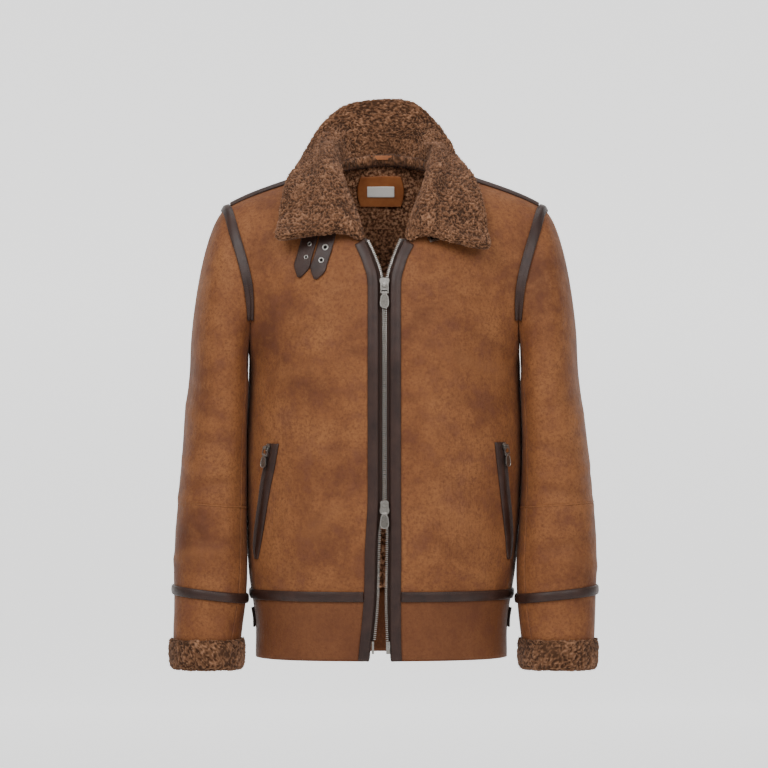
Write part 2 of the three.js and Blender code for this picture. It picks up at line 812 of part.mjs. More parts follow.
// The leather's edge along the zip as built, read between the rows of the panels
const ZIP_SIDES = { left: { sign: 1, column: 0 }, right: { sign: -1, column: 1 } };
function frontEdges(side) {
  const { sign, column } = ZIP_SIDES[side];
  const rows = [...bandHalf(column).slice(0, 3), ...frontHalf(column)].slice(0, 18);
  return rows.map((row) => leaning(new THREE.Vector3(sign * row[0].x, row[0].y, row[0].z)));
}
function edgeAt(edge, z) {
  let n = 0;
  while (n < edge.length - 2 && z > edge[n + 1].z) n++;
  const t = (z - edge[n].z) / (edge[n + 1].z - edge[n].z);
  return edge[n].clone().lerp(edge[n + 1], t);
}
const ZIP_STRIP_LEVELS = [
  -681.4, -660, -628, -593, -560, -520, -475, -430, -385, -345, -310, -286, -262, -235, -208, -180,
  -153, -139, -125, -114, -104,
];
const ZIP_STRIP_STARTS = 0.5;
for (const side of ["left", "right"]) {
  const { sign } = ZIP_SIDES[side];
  const edge = frontEdges(side);
  const rows = ZIP_STRIP_LEVELS.map((z) => {
    const here = edgeAt(edge, z);
    const along = edgeAt(edge, Math.min(z + 6, -97)).sub(edgeAt(edge, z - 6)).setY(0).normalize();
    const away = new THREE.Vector3(sign * along.z, 0, -sign * along.x);
    return STRIP_SHARES.map((share) => {
      const wide = ZIP_STRIP_STARTS + ((share + 1) / 2) * STRIP;
      const spot = here.clone().addScaledVector(away, wide);
      return frontSpot(trunkFaces, spot.x, Math.max(spot.z, -681.6));
    });
  });
  const facing = sign > 0 ? rows : rows.map((r) => r.reverse());
  addMesh("zip_strip_" + side, laidSolid(facing, (i, j) => DOMED[j]), TRIM);
}

// Zip tapes with their row of teeth, set a little below the face of the leather
const TAPE_WALL = 1.2;
const TEETH_WIDE = 3.4;
const TEETH_TALL = 3.0;
const TAPE_DEEP = 2.7;
for (const side of ["left", "right"]) {
  const { sign, column } = ZIP_SIDES[side];
  const edge = frontEdges(side);
  const front = new THREE.Vector3(0, -1, 0);
  const rows = TEETH_LINE.map((line) => {
    const z = line[0];
    const sewn = edgeAt(edge, z);
    const teeth = line[1 + column];
    const outer = sewn.x - sign * 0.6;
    const root = teeth + sign * Math.min(TEETH_WIDE, Math.abs(outer - teeth) - 0.6);
    const columns = [teeth, root, root + sign * 0.3, outer];
    return columns.map((x) => ({ point: new THREE.Vector3(x, sewn.y + TAPE_DEEP, z), normal: front }));
  });
  const facing = sign > 0 ? rows : rows.map((r) => r.reverse());
  const across = [TEETH_TALL, TEETH_TALL, TAPE_WALL, TAPE_WALL];
  const heights = sign > 0 ? across : [...across].reverse();
  addMesh("zip_tape_" + side, laidSolid(facing, (i, j) => heights[j], 0), TAPE);
}

// Waist strip, all the way round from one zip strip to the other
function waistStations() {
  const left = settled(frontHalf(0))[0].slice(1);
  const back = halves(backHalf()).map((half) => settled(half)[0]);
  const right = settled(mirrorRows(frontHalf(1)))[0].slice(0, -1);
  const start = edgeAt(frontEdges("left"), -593).x + STRIP + 1.4;
  const end = edgeAt(frontEdges("right"), -593).x - STRIP - 1.6;
  const around = [...left, ...back[0].slice(1), ...back[1].slice(1), ...right.slice(1)];
  const inside = around.filter((p) => p.y > -120 || p.x > start + 6 || p.x < end - 6);
  const first = frontSpot(trunkFaces, start, -593.5).point;
  const last = frontSpot(trunkFaces, end, -593.5).point;
  return [first, ...inside, last];
}
const waistLine = waistStations();
const waistRows = STRIP_SHARES.map((share) =>
  waistLine.map((p, n) => {
    const before = waistLine[Math.max(n - 1, 0)];
    const after = waistLine[Math.min(n + 1, waistLine.length - 1)];
    const along = after.clone().sub(before).setZ(0).normalize();
    const out = new THREE.Vector3(along.y, -along.x, 0);
    const from = p.clone().addScaledVector(out, 30);
    from.z = -593 + share * 6.8;
    return meet(trunkFaces, from, out.clone().negate());
  }),
);
addMesh("waist_strip", laidSolid(waistRows, (i) => DOMED[i]), TRIM);

// Strips over the armhole seams, from the front of the armhole over the shoulder to the back
const ARMHOLE_REACH = 8; // ring points covered on each side of the shoulder tip
function armholeStrip(side) {
  const sign = side === "left" ? 1 : -1;
  const front = frontHalf(ZIP_SIDES[side].column);
  const back = backHalf();
  const sleeve = sleeves[side];
  const columns = [];
  for (let n = -ARMHOLE_REACH; n <= ARMHOLE_REACH; n++) {
    const k = (n + RING) % RING;
    const half = n >= 0 ? front : back;
    const row = half[half.length - 1 - Math.abs(n)];
    const seam = row[ACROSS];
    const ring = sleeve[0];
    const tangent = ring[(k + 1) % RING].clone().sub(ring[(k + RING - 1) % RING]).normalize();
    const toBody = row[ACROSS - 1].clone().sub(seam);
    const toSleeve = sleeve[1][k].clone().sub(seam);
    const spots = STRIP_SHARES.map((share) => {
      const way = (share < 0 ? toBody : toSleeve).clone();
      way.addScaledVector(tangent, -way.dot(tangent)).normalize();
      const place = seam.clone().addScaledVector(way, Math.abs(share) * (STRIP / 2));
      return nearest(allFaces, new THREE.Vector3(sign * place.x, place.y, place.z));
    });
    columns.push(spots);
  }
  const rows = STRIP_SHARES.map((_, i) => columns.map((spots) => spots[i]));
  const facing = sign > 0 ? rows : rows.reverse();
  return laidSolid(facing, (i) => DOMED[i], 1.6);
}
addMesh("armhole_strip_left", armholeStrip("left"), TRIM);
addMesh("armhole_strip_right", armholeStrip("right"), TRIM);

// Strips along the shoulder seams, a little to the front of them
const SHOULDER_STRIP_SHARES = [0.25, 0.375, 0.5, 0.625, 0.75, 0.875, 0.925];
function shoulderStrip(side) {
  const sign = side === "left" ? 1 : -1;
  const half = frontHalf(0);
  const line = new THREE.CatmullRomCurve3(half[half.length - 1], false, "centripetal");
  const columns = SHOULDER_STRIP_SHARES.map((t) => {
    const p = line.getPoint(t);
    return STRIP_SHARES.map((share) => {
      const from = new THREE.Vector3(sign * p.x, p.y - 4 + share * (STRIP / 2), 200);
      return meet(allFaces, from, new THREE.Vector3(0, 0, -1));
    });
  });
  const rows = STRIP_SHARES.map((_, i) => columns.map((spots) => spots[i]));
  return laidSolid(sign > 0 ? rows : rows.reverse(), (i) => DOMED[i], 1.1);
}
addMesh("shoulder_strip_left", shoulderStrip("left"), TRIM);
addMesh("shoulder_strip_right", shoulderStrip("right"), TRIM);

// Profile carried round a sleeve ring. Profile points are [up, out] from the sleeve's face.
function ringSolid(ring, profile) {
  const points = [];
  const faces = [];
  ring.forEach((p, k) => {
    const tangent = ring[(k + 1) % RING].clone().sub(ring[(k + RING - 1) % RING]).setZ(0).normalize();
    const out = new THREE.Vector3(-tangent.y, tangent.x, 0);
    if (out.dot(p.clone().sub(ringMiddle(ring))) < 0) out.negate();
    for (const [up, off] of profile) {
      points.push(p.clone().addScaledVector(out, off).add(new THREE.Vector3(0, 0, up)));
    }
  });
  const n = profile.length;
  for (let k = 0; k < RING; k++) {
    for (let i = 0; i < n; i++) {
      const a = k * n + i;
      const b = k * n + ((i + 1) % n);
      const c = ((k + 1) % RING) * n + ((i + 1) % n);
      const d = ((k + 1) % RING) * n + i;
      faces.push([a, b, c], [a, c, d]);
    }
  }
  return { points, faces };
}
function ringMiddle(ring) {
  return ring.reduce((sum, p) => sum.add(p), new THREE.Vector3()).divideScalar(ring.length);
}
const BAND_PROFILE = [
  [6.6, 1.35],
  [6.2, 2.6],
  [3, 3.9],
  [-3, 3.9],
  [-6.2, 2.6],
  [-6.6, 1.35],
];
const CUFF_DROP = CUFF_BOTTOM + 661;
const CUFF_PROFILE = [
  [-0.5, -8],
  [-0.5, 0.6],
  [5, 1.2],
  [7, CUFF_SWELL - 2.5],
  [3, CUFF_SWELL + 0.5],
  [-12, CUFF_SWELL + 1.5],
  [CUFF_DROP + 8, CUFF_SWELL],
  [CUFF_DROP + 1.5, CUFF_SWELL - 4],
  [CUFF_DROP, -3],
  [CUFF_DROP + 3, -8.5],
  [CUFF_DROP + 14, -11],
  [-10, -10.5],
];
for (const side of ["left", "right"]) {
  const sign = side === "left" ? 1 : -1;
  const rows = sleeves[side];
  const placed = ({ points, faces }) => {
    const moved = points.map((p) => new THREE.Vector3(sign * p.x, p.y, p.z));
    return fromFaces(moved, sign > 0 ? faces.map(([a, b, c]) => [a, c, b]) : faces);
  };
  addMesh("sleeve_band_" + side, placed(ringSolid(rows[HEAD_ROWS + 7], BAND_PROFILE)), TRIM);
  addMesh("cuff_" + side, placed(ringSolid(rows[SLEEVE_END], CUFF_PROFILE)), FLEECE);
}

// Small metal and leather pieces. They are drawn as if on the front, x across, y into the cloth, z up.
const box = (x1, x2, y1, y2, z1, z2) =>
  new THREE.BoxGeometry(x2 - x1, y2 - y1, z2 - z1).translate((x1 + x2) / 2, (y1 + y2) / 2, (z1 + z2) / 2);

// Flat plate of an outline [x, z], from y1 to y2, with an optional hole
function plate(outline, y1, y2, hole = null) {
  const shape = new THREE.Shape(outline.map(([x, z]) => new THREE.Vector2(x, z)));
  if (hole) shape.holes.push(new THREE.Path(hole.map(([x, z]) => new THREE.Vector2(x, z))));
  const made = new THREE.ExtrudeGeometry(shape, { depth: y2 - y1, bevelEnabled: false });
  return made.rotateX(Math.PI / 2).translate(0, y2, 0);
}

// Bar of an outline [y, z] with an optional hole, from x1 to x2
function barAcross(outline, hole, x1, x2) {
  const shape = new THREE.Shape(outline.map(([y, z]) => new THREE.Vector2(y, z)));
  if (hole) shape.holes.push(new THREE.Path(hole.map(([y, z]) => new THREE.Vector2(y, z))));
  const made = new THREE.ExtrudeGeometry(shape, { depth: x2 - x1, bevelEnabled: false });
  made.translate(0, 0, x1);
  const turn = new THREE.Matrix4().makeBasis(
    new THREE.Vector3(0, 1, 0),
    new THREE.Vector3(0, 0, 1),
    new THREE.Vector3(1, 0, 0),
  );
  return made.applyMatrix4(turn);
}

const circle = (radius, count) =>
  Array.from({ length: count }, (_, n) => {
    const a = (2 * Math.PI * n) / count;
    return [radius * Math.cos(a), radius * Math.sin(a)];
  });
const rectangle = (x1, x2, z1, z2) => [[x1, z1], [x2, z1], [x2, z2], [x1, z2]];

function solid(geometry) {
  const loose = geometry.index ? geometry.toNonIndexed() : geometry;
  const bare = new THREE.BufferGeometry().setAttribute("position", loose.getAttribute("position"));
  const merged = mergeVertices(bare, 1e-4);
  const mesh = new wasm.Mesh({
    numProp: 3,
    vertProperties: merged.attributes.position.array,
    triVerts: new Uint32Array(merged.index.array),
  });
  return new wasm.Manifold(mesh);
}

function joined(...geometries) {
  const made = geometries.map(solid).reduce((sum, next) => sum.add(next));
  const mesh = made.getMesh();
  const geometry = new THREE.BufferGeometry();
  geometry.setAttribute("position", new THREE.BufferAttribute(new Float32Array(mesh.vertProperties), 3));
  geometry.setIndex([...mesh.triVerts]);
  return geometry;
}

// Matrix that stands a drawn piece at a spot: out of the cloth along `out`, its foot pointing `down`
function standing(origin, out, down) {
  const into = out.clone().negate().normalize();
  const up = down.clone().negate();
  up.addScaledVector(into, -up.dot(into)).normalize();
  const across = new THREE.Vector3().crossVectors(into, up);
  return new THREE.Matrix4().makeBasis(across, into, up).setPosition(origin);
}

// Ring link, hung from the slider's crown and holding the paddle. Its pivots are 10.7 mm apart.
const WIRE = 0.65;
const LINK_LONG = 10.7;
const LINK_HALF = 5.5;
function link() {
  const outline = rectangle(-LINK_HALF, LINK_HALF, -LINK_LONG - WIRE, WIRE);
  const inside = LINK_HALF - 2 * WIRE;
  return plate(outline, -WIRE, WIRE, rectangle(-inside, inside, -LINK_LONG + WIRE, -WIRE));
}
const PADDLE_OUTLINE = [
  [-3.2, -1.6],
  [-3.6, -3.4],
  [-5.2, -5.2],
  [-6.3, -14],
  [-5.9, -17.6],
  [-4.2, -20.2],
  [-1.6, -21.3],
  [1.6, -21.3],
  [4.2, -20.2],
  [5.9, -17.6],
  [6.3, -14],
  [5.2, -5.2],
  [3.6, -3.4],
  [3.2, -1.6],
];
const PADDLE_THICK = 1.8;
function paddle(scale = 1) {
  const eye = barAcross(circle(2.15, 12), circle(1.25, 10), -3.4, 3.4);
  const blade = plate(PADDLE_OUTLINE, -PADDLE_THICK / 2, PADDLE_THICK / 2);
  return joined(eye, blade.applyMatrix4(new THREE.Matrix4().makeScale(scale, 1, scale)));
}

// Crown over the slider plate, with the square eye that holds the link
function crown(face, z) {
  const eye = face - 2.6;
  const outer = [
    [face + 0.6, z - 2.9],
    [eye - 1.3, z - 2.6],
    [eye - 2.3, z - 1.6],
    [eye - 2.3, z + 1.6],
    [eye - 1.3, z + 2.6],
    [face + 0.6, z + 2.9],
  ];
  return barAcross(outer, rectangle(eye - 1.2, eye + 1.2, z - 1.2, z + 1.2), -2.1, 2.1);
}

// Slider of the front zip. flip turns it mouth down. y is 0 at the front of the teeth.
const SLIDER_FACE = -2.5;
const SLIDER_OUTLINE = [
  [-4.4, -8.6],
  [4.4, -8.6],
  [5.6, -6.6],
  [5.6, 0],
  [6.8, 4.2],
  [6.2, 7.8],
  [3.2, 8.6],
  [-3.2, 8.6],
  [-6.2, 7.8],
  [-6.8, 4.2],
  [-5.6, 0],
  [-5.6, -6.6],
];
function slider(flip, pivot) {
  const outline = flip ? SLIDER_OUTLINE.map(([x, z]) => [-x, -z]) : SLIDER_OUTLINE;
  const nose = flip ? [-8.2, -5.6] : [5.6, 8.2];
  return joined(
    plate(outline, SLIDER_FACE, -0.7),
    plate(outline, 3.5, 5.0),
    box(-0.55, 0.55, -1.5, 4, ...nose),
    crown(SLIDER_FACE, pivot),
  );
}

function frontOutAt(z) {
  const left = edgeAt(frontEdges("left"), z);
  const right = edgeAt(frontEdges("right"), z);
  return (left.y + right.y) / 2 - (TEETH_TALL - TAPE_DEEP);
}

// A slider with its link and paddle hanging down the zip
const FRONT_SLIDERS = {
  top: { z: -164, pivot: -2, flip: false },
  bottom: { z: -469.5, pivot: 2.5, flip: true },
};
for (const [name, { z, pivot, flip }] of Object.entries(FRONT_SLIDERS)) {
  const rise = frontOutAt(z + 8) - frontOutAt(z - 8);
  const down = new THREE.Vector3(0, -rise, -16).normalize();
  const out = new THREE.Vector3(0, -16, rise).normalize();
  const at = new THREE.Vector3(0, frontOutAt(z), z);
  const stand = standing(at, out, down);
  addMesh("zip_slider_" + name, slider(flip, pivot).applyMatrix4(stand), METAL);
  const hang = new THREE.Matrix4().makeTranslation(0, SLIDER_FACE - 2.6, pivot);
  addMesh("zip_link_" + name, link().applyMatrix4(hang).applyMatrix4(stand), METAL);
  hang.makeTranslation(0, SLIDER_FACE - 2.6, pivot - LINK_LONG);
  addMesh("zip_paddle_" + name, paddle().applyMatrix4(hang).applyMatrix4(stand), METAL);
}

// Foot of the zip: the box on the wearer's left tape and the pin on the other
const footY = frontOutAt(-660);
addMesh("zip_box", box(2.2, 7.6, footY - 0.9, footY + 3.9, -671.5, -654.5), METAL);
addMesh("zip_pin", box(-17.4, -14.4, footY + 0.1, footY + 3.0, -671.5, -654.5), METAL);

// Slanted pockets: z, inner edge x, outer edge x of welt and zip together
const POCKET = {
  right: [
    [-384, -145, -160.5],
    [-410, -149.5, -164.6],
    [-436, -155, -169.6],
    [-460, -159.5, -173],
    [-486, -164, -176.6],
    [-512, -168, -179.6],
    [-530, -170.8, -180.4],
    [-543, -173, -177.8],
  ],
  left: [
    [-382, 151, 165],
    [-410, 153.8, 167.8],
    [-436, 157, 170.6],
    [-460, 160, 173],
    [-486, 163, 175.5],
    [-512, 165.8, 177],
    [-530, 167.4, 176.4],
    [-543, 168.8, 173.4],
  ],
};
const WELT_SHARES = [0, 0.16, 0.34, 0.5, 0.6];
const WELT_TALL = [1.4, 2.6, 3.0, 2.6, 1.8];
const POCKET_ZIP_SHARES = [0.66, 0.83, 1];
const POCKET_ZIP_TALL = [1.2, 1.6, 1.4];
const pocketSpot = ([z, inner, outer], share) => frontSpot(bodyFaces, inner + (outer - inner) * share, z);
for (const side of ["left", "right"]) {
  const rows = [...POCKET[side]].reverse();
  const grid = (shares) => {
    const made = rows.map((row) => shares.map((share) => pocketSpot(row, share)));
    return side === "left" ? made : made.map((r) => r.reverse());
  };
  const tall = (list) => (i, j) => (side === "left" ? list[j] : list[list.length - 1 - j]);
  addMesh("pocket_welt_" + side, laidSolid(grid(WELT_SHARES), tall(WELT_TALL), 1.0), TRIM);
  addMesh("pocket_zip_" + side, laidSolid(grid(POCKET_ZIP_SHARES), tall(POCKET_ZIP_TALL), 1.0), TAPE);
}

// Sliders of the pockets, small, with link and paddle lying along the slant
const POCKET_SLIDER_OUTLINE = [
  [-2.6, -5],
  [2.6, -5],
  [3.6, -2],
  [3.6, 3],
  [2, 5],
  [-2, 5],
  [-3.6, 3],
  [-3.6, -2],
];
const POCKET_PULL = 0.85;
for (const side of ["left", "right"]) {
  const top = pocketSpot(POCKET[side][0], 0.8);
  const low = pocketSpot(POCKET[side][2], 0.8);
  const down = low.point.clone().sub(top.point).normalize();
  const at = top.point.clone().addScaledVector(down, 5);
  const spot = nearest(bodyFaces, at);
  const out = spot.normal.clone();
  out.addScaledVector(down, -out.dot(down)).normalize();
  const stand = standing(spot.point.clone().addScaledVector(out, 3.0), out, down);
  const body = joined(plate(POCKET_SLIDER_OUTLINE, -1.8, 0), crown(-1.8, 0));
  addMesh("pocket_slider_" + side, body.applyMatrix4(stand), METAL);
  const hang = new THREE.Matrix4().makeTranslation(0, -4.4, 0);
  addMesh("pocket_link_" + side, link().applyMatrix4(hang).applyMatrix4(stand), METAL);
  hang.makeTranslation(0, -4.4, -LINK_LONG);
  addMesh("pocket_paddle_" + side, paddle(POCKET_PULL).applyMatrix4(hang).applyMatrix4(stand), METAL);
}

// Throat straps on the wearer's right, side by side under the leaf, each [x, z] of its middle line
const THROAT_STRAPS = {
  inner: { line: [[-75, -86], [-81.5, -112.8], [-87, -130.6], [-91.5, -145]], tip: [-94.5, -157] },
  outer: { line: [[-99.5, -88], [-104.6, -108], [-109.6, -126], [-113.6, -141]], tip: [-117, -154] },
};
const STRAP_HALF = 10.2;
for (const [name, { line, tip }] of Object.entries(THROAT_STRAPS)) {
  const points = line.map(([x, z]) => new THREE.Vector3(x, 0, z));
  const curve = new THREE.CatmullRomCurve3(points, false, "centripetal");
  const acrossStrap = (x, z, along, half) =>
    STRIP_SHARES.map((share) => frontSpot(bodyFaces, x - along.z * half * share, z + along.x * half * share));
  const rows = [];
  for (let n = 0; n <= 5; n++) {
    const p = curve.getPoint(n / 5);
    rows.push(acrossStrap(p.x, p.z, curve.getTangent(n / 5), STRAP_HALF));
  }
  rows.push(acrossStrap(...tip, curve.getTangent(1), STRAP_HALF / 5));
  addMesh("throat_strap_" + name, laidSolid(rows.reverse(), () => 2.2, 1.1), TRIM);
}

// Buckles and the leather that holds them on the wearer's left, under the leaf: middle x, z
const BUCKLES = { inner: [70.5, -95.5], outer: [100.5, -90] };
const BUCKLE_TURN = THREE.MathUtils.degToRad(17);
for (const [name, [x, z]] of Object.entries(BUCKLES)) {
  const spot = frontSpot(bodyFaces, x, z);
  const down = new THREE.Vector3(Math.sin(BUCKLE_TURN), 0, -Math.cos(BUCKLE_TURN));
  const stand = standing(spot.point.clone().addScaledVector(spot.normal, 4.25), spot.normal, down);
  const frame = plate(rectangle(-14, 14, -10, 10), -1.1, 1.1, rectangle(-11.4, 11.4, -7.4, 7.4));
  addMesh("buckle_" + name, frame.applyMatrix4(stand), METAL);
  const across = new THREE.Vector3(Math.cos(BUCKLE_TURN), 0, Math.sin(BUCKLE_TURN));
  const rows = [-6, 2, 10, 18].map((up) =>
    [-10, -5, 0, 5, 10].map((over) => {
      const p = new THREE.Vector3(x, 0, z).addScaledVector(across, over).addScaledVector(down, -up);
      return frontSpot(bodyFaces, p.x, p.z);
    }),
  );
  addMesh("buckle_chape_" + name, laidSolid(rows, () => 1.8, 1.0), TRIM);
}

// Adjuster tabs on the sides of the waistband, pointed at the back: y along the side
const TAB_MIDDLE = -627;
const TAB_HALF = 13.5;
const TAB_PLACES = [[-8, 1], [5, 1], [16, 1], [27, 1], [38, 1], [49, 1], [59, 1], [68, 1], [77, 0.35]];
for (const side of ["left", "right"]) {
  const sign = side === "left" ? 1 : -1;
  const rows = STRIP_SHARES.map((share) =>
    TAB_PLACES.map(([y, tall]) => {
      const from = new THREE.Vector3(sign * 260, y, TAB_MIDDLE + share * TAB_HALF * tall);
      return meet(trunkFaces, from, new THREE.Vector3(-sign, 0, 0));
    }),
  );
  const facing = sign > 0 ? rows : rows.map((r) => r.reverse());
  addMesh("side_tab_" + side, laidSolid(facing, () => 2.4, 1.2), TRIM);
}

// Pieces on the fleece at the back of the neck, facing forwards
function liningSpot(x, z, off) {
  const { point, normal } = meet(facesOf([BODY[2]]), new THREE.Vector3(x, 0, z), new THREE.Vector3(0, 1, 0));
  return { point: point.addScaledVector(normal, -WALL - off), normal: normal.negate() };
}
const PATCH_ROWS = [-45.5, -36, -25, -14, -3.5];
const patchHalf = (z) => 33.5 - 4.5 * ((z + 24.5) / 21) ** 2;
const patchRows = PATCH_ROWS.map((z) =>
  STRIP_SHARES.map((share) => liningSpot(-5.5 + share * patchHalf(z), z, 0.9)),
);
addMesh("neck_patch", laidSolid(patchRows, () => 2, 0), PATCH);
const labelRows = [-31, -24, -16.5].map((z) => [-25, -12, 1, 14].map((x) => liningSpot(x, z, 3.9)));
addMesh("neck_label", laidSolid(labelRows, () => 0.8, 0), LABEL);

// Hanger loop at the neck seam, bowed forwards
const LOOP_BOW = [[-19.5, 0], [-14, 2.6], [-4, 4], [5.5, 2.6], [11, 0]];
const loopRows = [15.6, 21.4].map((z) =>
  LOOP_BOW.map(([x, bow]) => ({
    point: new THREE.Vector3(x, 75 - WALL - 3.6 - bow, z),
    normal: new THREE.Vector3(0, -1, 0),
  })),
);
addMesh("hanger_loop", laidSolid(loopRows, () => 1.6, 0), PATCH);

export default group;
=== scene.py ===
# %% [markdown]
# # A sheepskin flying jacket
# This lesson dresses a plain solid model of a sheepskin jacket so that it looks like the real
# garment. The solid model already has the right cut: fronts, back, waistband, two-piece sleeves,
# collar, cuffs, zips, straps and buckles. Each step takes one piece or one finish, says what it is
# on the real jacket, and makes it from the solid, so nothing has to be fitted by eye.

# %% Load the solid model
import math

import bmesh
import bpy
import numpy as np
from mathutils import Matrix, Vector, noise
from mathutils.bvhtree import BVHTree


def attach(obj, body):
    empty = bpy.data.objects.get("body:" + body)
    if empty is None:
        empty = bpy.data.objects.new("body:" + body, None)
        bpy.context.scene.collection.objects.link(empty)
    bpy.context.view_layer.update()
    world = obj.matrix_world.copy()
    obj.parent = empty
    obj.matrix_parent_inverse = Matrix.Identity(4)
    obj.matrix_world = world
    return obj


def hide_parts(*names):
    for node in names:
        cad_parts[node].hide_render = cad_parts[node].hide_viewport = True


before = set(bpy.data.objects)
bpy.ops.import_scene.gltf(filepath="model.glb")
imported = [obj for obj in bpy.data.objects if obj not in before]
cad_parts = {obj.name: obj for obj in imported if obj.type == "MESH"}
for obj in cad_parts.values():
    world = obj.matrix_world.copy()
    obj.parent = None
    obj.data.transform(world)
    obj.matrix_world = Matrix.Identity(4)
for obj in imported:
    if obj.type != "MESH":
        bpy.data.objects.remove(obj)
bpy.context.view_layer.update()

JACKET = "jacket"
MM = 0.001
SIDES = {"left": 1, "right": -1}

# %% [markdown]
# ## Camera and light
# The jacket was shot straight from the front with a long lens, against white, in soft even light.
# A camera 6.5 m away, level with the middle of the jacket, gives the same view. One broad light
# stands high on each side of it, and the pale floor rises behind the jacket into a wall, so that
# no edge shows.

# %% Camera
CAMERA_PLACE = (-0.0007, -6.5, -0.301)
LENS_MM = 217.6

camera = bpy.data.objects.new("camera", bpy.data.cameras.new("camera"))
bpy.context.scene.collection.objects.link(camera)
camera.location = CAMERA_PLACE
camera.rotation_euler = (math.radians(90), 0, 0)
camera.data.lens = LENS_MM
camera.data.clip_end = 60
bpy.context.scene.camera = camera
print("camera at", CAMERA_PLACE)


# %% Floor and lights
FLOOR_Z = -1.25
WALL_Y = 8.2  # further off than the camera stands from the jacket


def pale_sweep():
    """Floor that curves up into a wall far behind the jacket, further off than the camera stands."""
    profile = [(-9.0, FLOOR_Z), (WALL_Y - 1.2, FLOOR_Z)]
    for n in range(1, 13):
        turn = math.radians(90 * n / 12)
        profile.append((WALL_Y - 1.2 + 1.2 * math.sin(turn), FLOOR_Z + 1.2 * (1 - math.cos(turn))))
    profile.append((WALL_Y, 5.0))
    verts = [(x, y, z) for y, z in profile for x in (-9.0, 9.0)]
    faces = [(2 * n, 2 * n + 1, 2 * n + 3, 2 * n + 2) for n in range(len(profile) - 1)]
    mesh = bpy.data.meshes.new("floor")
    mesh.from_pydata(verts, [], faces)
    mesh.shade_smooth()
    return mesh


def white_paper():
    """Matt white, lit from behind towards the wall, as a studio background is."""
    material = bpy.data.materials.new("white_paper")
    material.use_nodes = True
    nodes, links = material.node_tree.nodes, material.node_tree.links
    shader = nodes["Principled BSDF"]
    shader.inputs["Base Color"].default_value = (0.9, 0.9, 0.9, 1)
    shader.inputs["Roughness"].default_value = 1.0
    shader.inputs["Emission Color"].default_value = (1, 1, 1, 1)
    place = nodes.new("ShaderNodeTexCoord")
    apart = nodes.new("ShaderNodeSeparateXYZ")
    glow = nodes.new("ShaderNodeMapRange")
    glow.inputs["From Min"].default_value = 0.5
    glow.inputs["From Max"].default_value = 2.6
    glow.inputs["To Max"].default_value = 0.95
    links.new(place.outputs["Object"], apart.inputs["Vector"])
    links.new(apart.outputs["Y"], glow.inputs["Value"])
    links.new(glow.outputs["Result"], shader.inputs["Emission Strength"])
    return material


def area_light(name, place, aim, size, power):
    light = bpy.data.objects.new(name, bpy.data.lights.new(name, "AREA"))
    light.data.shape = "RECTANGLE"
    light.data.size, light.data.size_y = size
    light.data.energy = power
    light.location = place
    light.rotation_euler = (Vector(aim) - Vector(place)).to_track_quat("-Z", "Y").to_euler()
    bpy.context.scene.collection.objects.link(light)


floor = bpy.data.objects.new("floor", pale_sweep())
floor.data.materials.append(white_paper())
bpy.context.scene.collection.objects.link(floor)

area_light("key", (-1.5, -2.5, 2.0), (0, 0, -0.15), (1.8, 1.8), 78)
area_light("fill", (1.7, -2.9, 1.5), (0, 0, -0.2), (1.8, 1.8), 58)
area_light("top", (0, 0.6, 2.6), (0, 0, -0.2), (2.4, 1.6), 30)

world = bpy.data.worlds.new("studio")
bpy.context.scene.world = world
world.use_nodes = True
world.node_tree.nodes["Background"].inputs["Color"].default_value = (1.0, 0.985, 0.965, 1)
world.node_tree.nodes["Background"].inputs["Strength"].default_value = 0.42
print("three lights and a pale sweep")

# %% [markdown]
# ## How a material is written here
# Every finish below is a small network of procedural nodes: noise for the blotches, more noise
# for the grain, and a bump made from it. A helper that adds a node, sets its values and returns it
# keeps each material down to the lines that say what the finish is.


